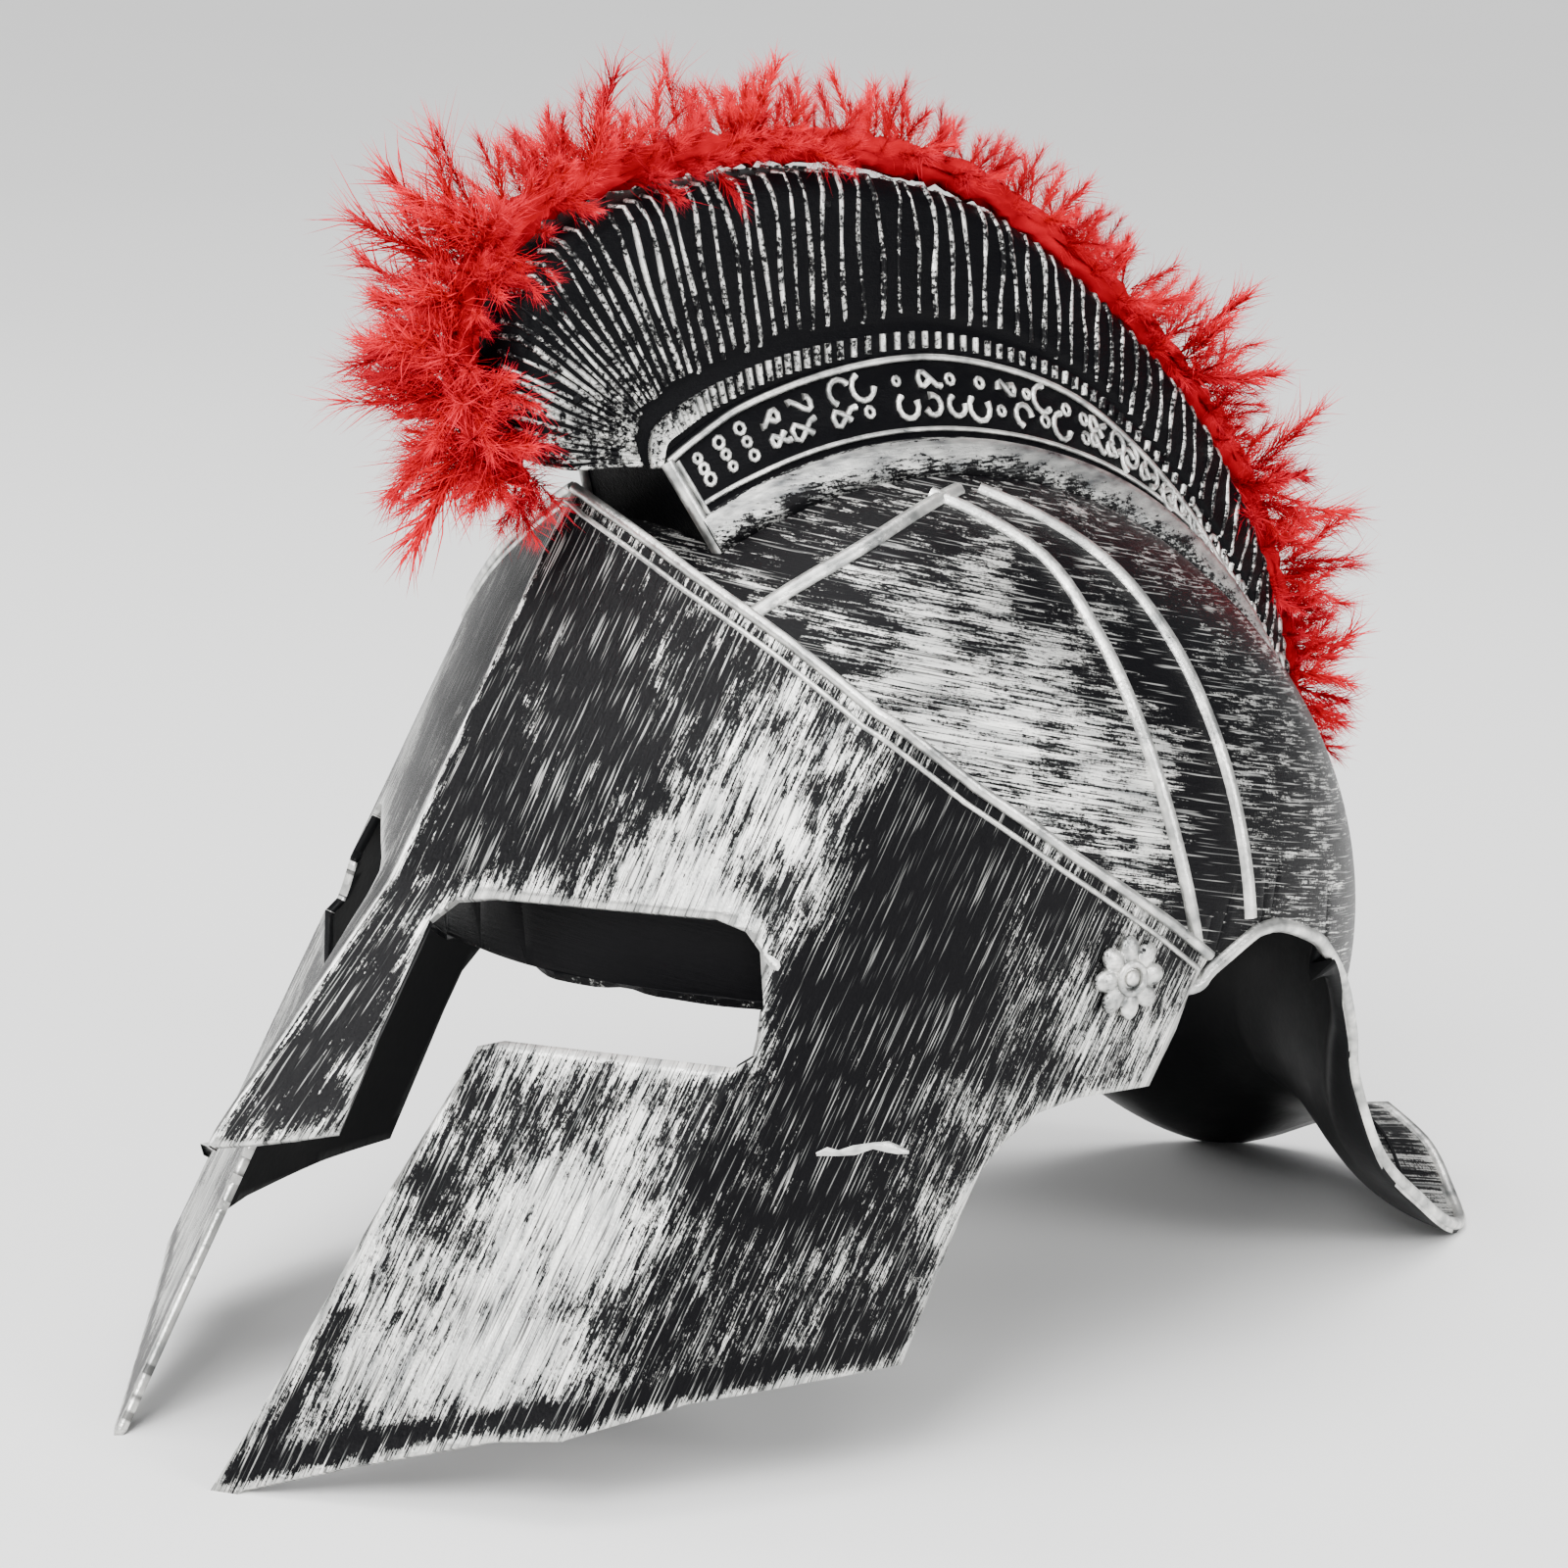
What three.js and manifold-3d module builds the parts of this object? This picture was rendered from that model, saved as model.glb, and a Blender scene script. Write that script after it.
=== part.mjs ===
import * as THREE from "three";
import Module from "manifold-3d";

const wasm = await Module();
wasm.setup();

// Outer sizes in mm: half the width, tip to neck guard, and floor to the top of the comb
const HALF_WIDTH = 98.6;
const LENGTH = 365;
const HEIGHT = 261;

// The helmet stands as it would on a table: on both cheek tips and the corners of the neck guard
const WALL = 2.2;
const FIT_GAP = 0.3;
// Edges shorter than this are merged, so that no sliver is left where solids are joined
const SHORTEST_EDGE = 0.2;
const BEAD_HALF_WIDTH = 2;
const BEAD_HEIGHT = 1.3;

// The dome is an ellipsoid that leans back with the whole helmet
const DOME_HALF_WIDTH = 94.2;
const DOME_HALF_LENGTH = 118.8;
const DOME_HEIGHT = 96.3;
const DOME_BACK = 196.2;
const DOME_UP = 101.2;
const DOME_LEAN = THREE.MathUtils.degToRad(22.3);
const DOME_ROWS = 6;
const FLARE_ROWS = 4;
const UPPER_SHARE = 0.86;
const RIB_HALF_WIDTH = 2.3;
const RIB_HEIGHT = 1.5;

// The face mask is a folded sheet: a flat front facet each side of a ridge, then a curved side facet
const RIDGE_BACK = 58;
const RIDGE_UP = 117.3;
const MASK_SLOPE = 0.584;
const FACET_SLOPE = 0.66;
const CREASE_SIDE = 76;
const NASAL_FLARE = 15;
const NASAL_HALF_WIDTH = 25;
const FACET_BULGE = 3.2;
const PRESS_BACK = 3.9;
const NASAL_DROP = 49;
const RIM_BAND_WIDTH = 5;
const RIM_BAND_HEIGHT = 1.2;

// The crest is a hollow moulding of a ribbed comb on a wider base
const COMB_STATIONS = 46;
const COMB_RIB_DEPTH = 0.65;
const CREST_WALL = 2.4;
const BASE_TOP = 15;
const BASE_BOTTOM = 26;
const FLANGE_HEIGHT = 6.5;
const FLANGE_EXTRA = 2.4;
const RELIEF_HEIGHT = 1;

const ROSETTE_RADIUS = 9.2;
const ROSETTE_PETALS = 8;
const ROSETTE_THICK = 1.8;
const SHANK_RADIUS = 1.7;
const HEAD_DEPTH = 7.4;

const LOCKS = 28;
const LOCK_LENGTH = 17;
const LOCK_RADIUS = 7;

/** Rows of shares under named columns, each multiplied by the size of its column. */
function table(names, sizes, rows) {
  return rows.map((row) =>
    Object.fromEntries(names.map((name, i) => [name, row[i] * sizes[i]])),
  );
}

// Lower edge of the skull from the brow to the middle of the neck guard
const RIM = table(["side", "back", "up"], [HALF_WIDTH, LENGTH, HEIGHT], [
  [0, 0.2244, 0.3805], [0.1582, 0.229, 0.3789], [0.3083, 0.2414, 0.3785], [0.4686, 0.2652, 0.377],
  [0.6136, 0.2986, 0.3739], [0.7911, 0.3589, 0.3709], [0.8976, 0.4329, 0.367], [0.9452, 0.5014, 0.3632],
  [0.9523, 0.5532, 0.3613], [0.9503, 0.5688, 0.3728], [0.929, 0.609, 0.3946], [0.9067, 0.6351, 0.3935],
  [0.8742, 0.6649, 0.3789], [0.8306, 0.6942, 0.3579], [0.7657, 0.7299, 0.3134], [0.6897, 0.7616, 0.2559],
  [0.6389, 0.7819, 0.2015], [0.6085, 0.8181, 0.118], [0.5629, 0.871, 0.0586], [0.502, 0.9151, 0.0199],
  [0.4361, 0.9479, 0.0054], [0.3347, 0.9671, 0.0165], [0.1826, 0.9849, 0.0452], [0, 0.9932, 0.0644],
]);

// Outline of the mask seen from the side, round the eye slot and the cheek plate
const OUTLINE = table(["back", "up"], [LENGTH, HEIGHT], [
  [0.2882, 0.759], [0.3132, 0.7019], [0.3362, 0.6579], [0.3581, 0.6107], [0.4041, 0.5525],
  [0.4605, 0.4923], [0.5293, 0.4257], [0.5578, 0.3954], [0.5419, 0.3674], [0.5315, 0.3345],
  [0.5118, 0.2908], [0.4589, 0.2923], [0.4304, 0.2858], [0.4099, 0.2697], [0.3899, 0.2456],
  [0.3762, 0.2123], [0.3625, 0.1747], [0.3351, 0.0989], [0.274, 0.0966], [0.2049, 0.0897],
  [0.1123, 0.0621], [0.0567, 0.0291], [0.0192, 0.0046], [0.0151, 0], [0.006, 0],
  [0.0553, 0.1023], [0.1129, 0.2268], [0.1595, 0.3234], [0.166, 0.3379], [0.1764, 0.3441],
  [0.2532, 0.3441], [0.2636, 0.3517], [0.2671, 0.3651], [0.2784, 0.4284], [0.2762, 0.4421],
  [0.2671, 0.449], [0.1923, 0.4467], [0.1792, 0.4429], [0.1658, 0.4264], [0.1249, 0.3406],
  [0.0948, 0.2697], [0.0685, 0.2644], [0.0373, 0.2567], [0.0055, 0.2498], [-0.0822, 0.2498],
  [-0.0822, 0.759],
]);
const OUTLINE_TOP_POINTS = 8;

// Side facet of the mask: how far back from the crease, and how far out
const SIDE_FACET = table(["back", "side"], [150, HALF_WIDTH], [
  [0, 0.771], [0.133, 0.852], [0.3, 0.933], [0.467, 0.977],
  [0.633, 0.994], [0.867, 1], [1, 1],
]);

// Comb of the crest: foot and top of the ribs, from the front overhang to the rear
const COMB = table(["footBack", "footUp", "topBack", "topUp"], [LENGTH, HEIGHT, LENGTH, HEIGHT], [
  [0.3205, 0.7789, 0.2548, 0.7808], [0.3219, 0.7847, 0.2274, 0.8192],
  [0.3233, 0.7923, 0.2205, 0.869], [0.326, 0.7962, 0.2301, 0.9264],
  [0.3342, 0.8019, 0.2712, 0.9705], [0.3562, 0.8172, 0.326, 0.9916],
  [0.3973, 0.8364, 0.3863, 1.0011], [0.4438, 0.8479, 0.4466, 1.0038],
  [0.5123, 0.8536, 0.5178, 0.9897], [0.5753, 0.8383, 0.5863, 0.959],
  [0.6329, 0.8096, 0.6466, 0.9092], [0.6822, 0.7655, 0.7041, 0.8479],
  [0.7342, 0.7004, 0.7589, 0.777], [0.7808, 0.6199, 0.8082, 0.6851],
  [0.8192, 0.5433, 0.8411, 0.5854], [0.8411, 0.4782, 0.8575, 0.4973],
]);

// Base of the crest: foot of the comb and the line below it inside the dome
const BASE = table(["footBack", "footUp", "rimBack", "rimUp"], [LENGTH, HEIGHT, LENGTH, HEIGHT], [
  [0.3192, 0.7847, 0.3644, 0.6582], [0.3425, 0.8038, 0.3863, 0.6889],
  [0.3781, 0.8268, 0.411, 0.7119], [0.4438, 0.8479, 0.4575, 0.731],
  [0.5123, 0.8536, 0.5123, 0.7349], [0.5753, 0.8383, 0.5644, 0.7272],
  [0.6329, 0.8096, 0.611, 0.7004], [0.6822, 0.7655, 0.6548, 0.6582],
  [0.7342, 0.7004, 0.6986, 0.6046], [0.7808, 0.6199, 0.7397, 0.5356],
  [0.8192, 0.5433, 0.7726, 0.4743], [0.8411, 0.4782, 0.7973, 0.4207],
]);

// Section of the comb: half width at a share of the rib's height, and the depth of its ribbing
const COMB_SECTION = table(["share", "half", "ribbing"], [1, 15, 1], [
  [-0.08, 0.96, 0], [0, 1, 0.5], [0.13, 0.95, 0.5], [0.17, 0.83, 0],
  [0.22, 0.92, 1], [0.55, 0.76, 1], [0.92, 0.57, 1], [1, 0.42, 0.4],
]);

// Middle line of the feather trim along the comb's top
const TRIM = table(["back", "up"], [LENGTH, HEIGHT], [
  [0.2548, 0.7636], [0.2192, 0.8038], [0.2055, 0.8651], [0.2137, 0.9303], [0.2603, 0.9897],
  [0.3233, 1.0126], [0.3863, 1.0222], [0.4466, 1.0249], [0.5205, 1.01], [0.5918, 0.9778],
  [0.6548, 0.9249], [0.7151, 0.8613], [0.7712, 0.7866], [0.8219, 0.6927], [0.8562, 0.5893],
  [0.8726, 0.5011], [0.8795, 0.4398],
]);

const RIBS = [
  table(["side", "back", "up"], [HALF_WIDTH, LENGTH, HEIGHT], [
  [0.3955, 0.3205, 0.6621], [0.426, 0.389, 0.708], [0.4057, 0.4384, 0.731],
  [0.3347, 0.5041, 0.754],
  ]),
  table(["side", "back", "up"], [HALF_WIDTH, LENGTH, HEIGHT], [
  [0.3347, 0.4822, 0.7502], [0.5375, 0.5205, 0.708], [0.6998, 0.5288, 0.6506],
  [0.8418, 0.5342, 0.5778], [0.9331, 0.5425, 0.4935], [0.9635, 0.5562, 0.3977],
  ]),
  table(["side", "back", "up"], [HALF_WIDTH, LENGTH, HEIGHT], [
  [0.3347, 0.5205, 0.7502], [0.5274, 0.5699, 0.7004], [0.6897, 0.589, 0.6429],
  [0.8215, 0.5973, 0.5663], [0.9128, 0.6027, 0.4782], [0.9432, 0.6055, 0.4092],
  ]),
];

// Raised scrolls of the base: place along the base, height share, radius, start and sweep in turns
const SCROLLS = table(["along", "share", "radius", "start", "sweep"], [1, 1, 4, 1, 1], [
  [0.17, 0.33, 0.8, 0.1, 0.6], [0.26, 0.66, 0.9, 0.55, -0.6], [0.36, 0.36, 1, 0.2, 0.65],
  [0.46, 0.64, 1, 0.7, -0.65], [0.56, 0.36, 0.9, 0.1, 0.6], [0.66, 0.62, 0.8, 0.6, -0.6],
  [0.76, 0.42, 0.6, 0.2, 0.55],
]);
const DOT_PLACES = [0.08, 0.13, 0.21, 0.31, 0.41, 0.51, 0.61, 0.71, 0.81];

/** Value of a table's column at a place given in another column. */
function at(rows, key, place, column) {
  const next = rows.findIndex((row) => row[key] >= place);
  if (next < 0) return rows[rows.length - 1][column];
  if (next === 0) return rows[0][column];
  const a = rows[next - 1];
  const b = rows[next];
  const share = (place - a[key]) / (b[key] - a[key]);
  return a[column] + share * (b[column] - a[column]);
}

/** Row of a table at a share of its length, smooth through its rows. */
function along(rows, share) {
  const names = Object.keys(rows[0]);
  const place = share * (rows.length - 1);
  const i = Math.min(Math.floor(place), rows.length - 2);
  const t = place - i;
  const pick = (k) => rows[Math.min(Math.max(k, 0), rows.length - 1)];
  const blend = (name) => {
    const [a, b, c, d] = [pick(i - 1), pick(i), pick(i + 1), pick(i + 2)].map((row) => row[name]);
    return b + 0.5 * t * (c - a + t * (2 * a - 5 * b + 4 * c - d + t * (3 * (b - c) + d - a)));
  };
  return Object.fromEntries(names.map((name) => [name, blend(name)]));
}

/** Closed body from vertices and triangles. */
function body(points, triangles) {
  const vertProperties = new Float32Array(points.flatMap((p) => [p.x, p.y, p.z]));
  const triVerts = new Uint32Array(triangles.flat());
  const made = new wasm.Manifold(new wasm.Mesh({ numProp: 3, vertProperties, triVerts }));
  if (made.volume() > 0) return made;
  const turned = new Uint32Array(triangles.flatMap(([a, b, c]) => [a, c, b]));
  return new wasm.Manifold(new wasm.Mesh({ numProp: 3, vertProperties, triVerts: turned }));
}

/** Body skinned over closed rings of points, with fans over both ends. */
function skin(rings) {
  const n = rings[0].length;
  const points = rings.flat();
  const triangles = [];
  for (let i = 0; i + 1 < rings.length; i++)
    for (let j = 0; j < n; j++) {
      const [a, b] = [i * n + j, i * n + ((j + 1) % n)];
      triangles.push([a, b, b + n], [a, b + n, a + n]);
    }
  [0, rings.length - 1].forEach((i) => {
    const middle = rings[i].reduce((sum, p) => sum.add(p), new THREE.Vector3()).divideScalar(n);
    points.push(middle);
    for (let j = 0; j < n; j++) {
      const [a, b] = [i * n + j, i * n + ((j + 1) % n)];
      triangles.push(i ? [a, b, points.length - 1] : [b, a, points.length - 1]);
    }
  });
  return body(points, triangles);
}

/** Body between an outer grid of points and an inner one. */
function sheet(outer, inner) {
  const [rows, columns] = [outer.length, outer[0].length];
  const points = [...outer.flat(), ...inner.flat()];
  const half = rows * columns;
  const triangles = [];
  const quad = (a, b, c, d) => triangles.push([a, b, c], [a, c, d]);
  for (let i = 0; i + 1 < rows; i++)
    for (let j = 0; j + 1 < columns; j++) {
      const a = i * columns + j;
      quad(a, a + 1, a + columns + 1, a + columns);
      quad(half + a, half + a + columns, half + a + columns + 1, half + a + 1);
    }
  const edge = (a, b) => quad(b, a, half + a, half + b);
  for (let j = 0; j + 1 < columns; j++) {
    edge(j, j + 1);
    edge((rows - 1) * columns + j + 1, (rows - 1) * columns + j);
  }
  for (let i = 0; i + 1 < rows; i++) {
    edge((i + 1) * columns, i * columns);
    edge(i * columns + columns - 1, (i + 1) * columns + columns - 1);
  }
  return body(points, triangles);
}

/** Normals of a grid of points, taken from each point's neighbours. */
function gridNormals(grid, wraps = false) {
  const n = grid[0].length;
  return grid.map((row, i) =>
    row.map((p, j) => {
      const left = row[wraps ? (j + n - 1) % n : Math.max(j - 1, 0)];
      const right = row[wraps ? (j + 1) % n : Math.min(j + 1, n - 1)];
      const above = grid[Math.max(i - 1, 0)][j];
      const below = grid[Math.min(i + 1, grid.length - 1)][j];
      const across = right.clone().sub(left);
      const down = below.clone().sub(above);
      return across.cross(down).normalize();
    }),
  );
}

/** Grid moved along its normals. */
function offset(grid, distance, wraps = false) {
  const normals = gridNormals(grid, wraps);
  return grid.map((row, i) => row.map((p, j) => p.clone().addScaledVector(normals[i][j], distance)));
}

/** Solid of a three.js geometry, its vertices merged. */
function solid(geometry) {
  const flat = geometry.index ? geometry.toNonIndexed() : geometry;
  const found = new Map();
  const points = [];
  const place = flat.getAttribute("position");
  const index = [];
  for (let i = 0; i < place.count; i++) {
    const p = new THREE.Vector3().fromBufferAttribute(place, i);
    const key = p.toArray().map((v) => v.toFixed(4)).join();
    if (!found.has(key)) {
      found.set(key, points.length);
      points.push(p);
    }
    index.push(found.get(key));
  }
  const triangles = [];
  for (let i = 0; i < index.length; i += 3) {
    const [a, b, c] = index.slice(i, i + 3);
    if (a !== b && b !== c && c !== a) triangles.push([a, b, c]);
  }
  return body(points, triangles);
}

/** Prism of a side view, through the whole width. */
function sideCut(rows) {
  const shape = new THREE.Shape(rows.map((row) => new THREE.Vector2(row.back, row.up)));
  const geometry = new THREE.ExtrudeGeometry(shape, { depth: 2.4 * HALF_WIDTH, bevelEnabled: false });
  geometry.translate(0, 0, -1.2 * HALF_WIDTH);
  geometry.applyMatrix4(new THREE.Matrix4().set(0, 0, 1, 0, 1, 0, 0, 0, 0, 1, 0, 0, 0, 0, 0, 1));
  return solid(geometry);
}

/** Point of the dome's frame in the helmet's. */
function fromDome(side, back, up) {
  const [c, s] = [Math.cos(DOME_LEAN), Math.sin(DOME_LEAN)];
  return new THREE.Vector3(side, DOME_BACK + back * c + up * s, DOME_UP - back * s + up * c);
}

/** Point of the helmet's frame in the dome's. */
function toDome(p) {
  const [c, s] = [Math.cos(DOME_LEAN), Math.sin(DOME_LEAN)];
  const [back, up] = [p.y - DOME_BACK, p.z - DOME_UP];
  return new THREE.Vector3(p.x, back * c - up * s, back * s + up * c);
}

/** Outward normal of the dome below or above a point. */
function domeNormal(p) {
  const q = toDome(p);
  const [a, b, c] = [DOME_HALF_WIDTH, DOME_HALF_LENGTH, DOME_HEIGHT];
  const tip = fromDome(q.x / a ** 2, q.y / b ** 2, q.z / c ** 2);
  return tip.sub(fromDome(0, 0, 0)).normalize();
}

/** Point moved straight out from the dome's middle onto its surface. */
function ontoDome(p) {
  const q = toDome(p);
  const size = Math.hypot(q.x / DOME_HALF_WIDTH, q.y / DOME_HALF_LENGTH, q.z / DOME_HEIGHT);
  return fromDome(q.x / size, q.y / size, q.z / size);
}

/** The dome as a full ellipsoid, grown by a distance. */
function domeBody(grow) {
  const ball = new THREE.SphereGeometry(1, 28, 16);
  ball.scale(DOME_HALF_WIDTH + grow, DOME_HALF_LENGTH + grow, DOME_HEIGHT + grow);
  ball.rotateX(-DOME_LEAN);
  ball.translate(0, DOME_BACK, DOME_UP);
  return solid(ball);
}

/** Point of the dome pressed back where the mask's flat facet runs close over it. */
function pressed(p) {
  if (Math.abs(p.x) > CREASE_SIDE || p.y > DOME_BACK) return p;
  const least = maskPoint(Math.abs(p.x), p.z, 1).y + PRESS_BACK;
  return p.y < least ? p.setY(least) : p;
}

/** Line of the skull from its apex down to one point of the rim. */
function skullColumn(rim) {
  const end = new THREE.Vector3(rim.side, rim.back, rim.up);
  const local = toDome(end);
  const turn = Math.atan2(local.x / DOME_HALF_WIDTH, local.y / DOME_HALF_LENGTH);
  const out = Math.hypot(local.x / DOME_HALF_WIDTH, local.y / DOME_HALF_LENGTH, local.z / DOME_HEIGHT);
  const flared = out > 1.02;
  const leave = flared ? Math.min(0.08 + 0.25 * (out - 1), 0.14) : local.z / DOME_HEIGHT / out;
  const last = Math.acos(leave);
  const onDome = (angle) =>
    pressed(
      fromDome(
        DOME_HALF_WIDTH * Math.sin(angle) * Math.sin(turn),
        DOME_HALF_LENGTH * Math.sin(angle) * Math.cos(turn),
        DOME_HEIGHT * Math.cos(angle),
      ),
    );
  const column = [];
  for (let i = 1; i <= DOME_ROWS; i++) column.push(onDome((UPPER_SHARE * last * i) / DOME_ROWS));
  const lower = flared ? 1 : FLARE_ROWS;
  for (let i = 1; i <= lower; i++) column.push(onDome(last * (UPPER_SHARE + ((1 - UPPER_SHARE) * i) / lower)));
  if (!flared) return column;
  const start = column[column.length - 1];
  const drop = start.distanceTo(end);
  const downward = start.clone().sub(onDome(last - 0.03)).normalize();
  const middle = start.clone().addScaledVector(downward, drop * 0.55);
  const away = domeNormal(ontoDome(end)).setZ(0).normalize();
  const before = end.clone().addScaledVector(away, -drop * 0.28).add(new THREE.Vector3(0, 0, drop * 0.1));
  const curve = new THREE.CubicBezierCurve3(start, middle, before, end);
  for (let i = 1; i < FLARE_ROWS; i++) column.push(curve.getPoint(i / (FLARE_ROWS - 1)));
  return column;
}

/** Shell closed round the dome: columns of points, an apex, and an inner copy. */
function skullShell() {
  const far = RIM.map((row) => ({ ...row, side: -row.side }));
  const columns = [...far, ...RIM.slice(1, -1).reverse()].map(skullColumn);
  const outer = columns[0].map((_, i) => columns.map((column) => column[i]));
  const inner = offset(outer, -WALL, true);
  const [rows, n] = [outer.length, columns.length];
  const points = [...outer.flat(), ...inner.flat()];
  const half = rows * n;
  const apex = points.push(fromDome(0, 0, DOME_HEIGHT)) - 1;
  const apexInner = points.push(fromDome(0, 0, DOME_HEIGHT - WALL)) - 1;
  const triangles = [];
  for (let j = 0; j < n; j++) {
    const k = (j + 1) % n;
    triangles.push([apex, k, j], [apexInner, half + j, half + k]);
    for (let i = 0; i + 1 < rows; i++) {
      const [a, b, c, d] = [i * n + j, i * n + k, (i + 1) * n + k, (i + 1) * n + j];
      triangles.push([a, b, c], [a, c, d]);
      triangles.push([half + a, half + c, half + b], [half + a, half + d, half + c]);
    }
    const [a, b] = [(rows - 1) * n + j, (rows - 1) * n + k];
    triangles.push([a, b, half + b], [a, half + b, half + a]);
  }
  return { shell: body(points, triangles), edge: outer[rows - 1], normals: gridNormals(outer, true)[rows - 1] };
}

/** Raised cord along a line of points on a surface. */
function cord(line, normals, halfWidth, height) {
  const under = -1.5 / height;
  const section = [[-1, under], [-0.55, 1], [0.55, 1], [1, under]];
  return skin(
    line.map((p, i) => {
      const ahead = line[Math.min(i + 1, line.length - 1)].clone().sub(line[Math.max(i - 1, 0)]);
      const side = ahead.cross(normals[i]).normalize();
      return section.map(([a, b]) =>
        p.clone().addScaledVector(side, a * halfWidth).addScaledVector(normals[i], b * height),
      );
    }),
  );
}

/** Cord of one rib over the dome, on one side, or a grown one to cut with. */
function rib(rows, sign, grow = 0) {
  const line = [];
  for (let i = 0; i <= 6; i++) {
    const row = along(rows, i / 6);
    line.push(ontoDome(new THREE.Vector3(sign * row.side, row.back, row.up)));
  }
  return cord(line, line.map(domeNormal), RIB_HALF_WIDTH + grow, RIB_HEIGHT + grow);
}

/** Point of the mask at a distance round from the ridge and a height. */
function maskPoint(round, up, sign) {
  const ridge = RIDGE_BACK + MASK_SLOPE * (up - RIDGE_UP);
  const beyond = round - CREASE_SIDE;
  if (beyond > 0) {
    const side = at(SIDE_FACET, "back", beyond, "side");
    return new THREE.Vector3(sign * side, ridge + FACET_SLOPE * CREASE_SIDE + beyond, up);
  }
  const below = THREE.MathUtils.clamp((RIDGE_UP - up) / NASAL_DROP, 0, 1);
  const near = Math.max(0, 1 - (round / NASAL_HALF_WIDTH) ** 2);
  const fade = THREE.MathUtils.clamp((up - 54) / 8, 0, 1);
  const share = round / CREASE_SIDE;
  const bulge = 4 * FACET_BULGE * share * (1 - share) * THREE.MathUtils.clamp((up - 100) / 45, 0, 1);
  const back = ridge + FACET_SLOPE * round - NASAL_FLARE * below * near * fade - bulge;
  return new THREE.Vector3(sign * round, back, up);
}

/** Outer grid of the mask, from the far edge over the ridge to the near edge. */
function maskGrid() {
  const front = [6, 12, 18, 25, 40, 58];
  const side = SIDE_FACET.map((row) => CREASE_SIDE + row.back);
  const rounds = [...front, ...side];
  const ups = [-12, 54, 62, RIDGE_UP - NASAL_DROP, 84, 100, RIDGE_UP, 145, 215];
  return ups.map((up) => [
    ...[...rounds].reverse().map((round) => maskPoint(round, up, -1)),
    maskPoint(0, up, 1),
    ...rounds.map((round) => maskPoint(round, up, 1)),
  ]);
}

/** Band below the mask's upper edge, in the side view. */
function bandOutline() {
  const top = OUTLINE.slice(0, OUTLINE_TOP_POINTS);
  const run = (i) => {
    const [a, b] = [top[Math.max(i - 1, 0)], top[Math.min(i + 1, top.length - 1)]];
    const long = Math.hypot(b.back - a.back, b.up - a.up);
    return { back: (b.up - a.up) / long, up: -(b.back - a.back) / long };
  };
  const under = top.map((row, i) => ({
    back: row.back + RIM_BAND_WIDTH * run(i).back,
    up: row.up + RIM_BAND_WIDTH * run(i).up,
  }));
  return [...top, ...under.reverse()];
}

/** Mask sheet cut to its outline, with a raised band along the upper edge. */
function faceMask(hole) {
  const outer = maskGrid();
  const inner = offset(outer, -WALL);
  const plate = sheet(outer, inner).intersect(sideCut(OUTLINE));
  const band = sheet(offset(outer, RIM_BAND_HEIGHT), offset(outer, -WALL / 2)).intersect(sideCut(bandOutline()));
  return whole(plate.add(band).subtract(hole));
}

/** Largest body of a solid, without what was cut loose or closed in. */
function whole(made) {
  const parts = made.decompose();
  return parts.reduce((best, piece) => (piece.volume() > best.volume() ? piece : best), parts[0]);
}

/** Closed ring of a section that is the same on both sides. */
function mirroredRing(half) {
  return [...half, ...half.map((p) => new THREE.Vector3(-p.x, p.y, p.z)).reverse()];
}

/** Comb of the crest, ribbed or smooth and grown or shrunk. */
function comb(stations, grow, ribbed, lift = 0) {
  const rings = [];
  for (let i = 0; i <= stations; i++) {
    const row = along(COMB, i / stations);
    const wave = ribbed ? (i % 2 ? 1 : -1) * COMB_RIB_DEPTH : 0;
    rings.push(
      mirroredRing(
        COMB_SECTION.map(({ share, half, ribbing }) => {
          const place = share === 1 ? 1 + lift : share;
          const back = row.footBack + place * (row.topBack - row.footBack);
          const up = row.footUp + place * (row.topUp - row.footUp);
          return new THREE.Vector3(half + grow + wave * ribbing, back, up);
        }),
      ),
    );
  }
  return skin(rings);
}

/** Base of the crest between the comb's foot and the dome, at a half width top and bottom. */
function crestBase(top, bottom, inset = 0) {
  const rings = [];
  for (let i = 0; i <= 16; i++) {
    const row = along(BASE, inset + ((1 - 2 * inset) * i) / 16);
    rings.push(
      mirroredRing([
        new THREE.Vector3(top, row.footBack, row.footUp + 0.5),
        new THREE.Vector3(0.5 * (top + bottom), 0.5 * (row.footBack + row.rimBack), 0.5 * (row.footUp + row.rimUp)),
        new THREE.Vector3(bottom, row.rimBack, row.rimUp),
      ]),
    );
  }
  return skin(rings);
}

/** Point and normal on the side of the crest's base. */
function baseFace(place, share, sign) {
  const row = along(BASE, place);
  const lift = 0.34 + 0.55 * share;
  const point = new THREE.Vector3(
    sign * (BASE_BOTTOM + lift * (BASE_TOP - BASE_BOTTOM)),
    row.rimBack + lift * (row.footBack - row.rimBack),
    row.rimUp + lift * (row.footUp - row.rimUp),
  );
  const next = along(BASE, place + 0.01);
  const run = new THREE.Vector3(0, next.footBack - row.footBack, next.footUp - row.footUp).normalize();
  const rise = new THREE.Vector3(
    sign * (BASE_TOP - BASE_BOTTOM),
    row.footBack - row.rimBack,
    row.footUp - row.rimUp,
  ).normalize();
  const normal = run.clone().cross(rise).multiplyScalar(sign).normalize();
  if (normal.x * sign < 0) normal.negate();
  return { point, run, rise: normal.clone().cross(run).normalize(), normal };
}

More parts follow.
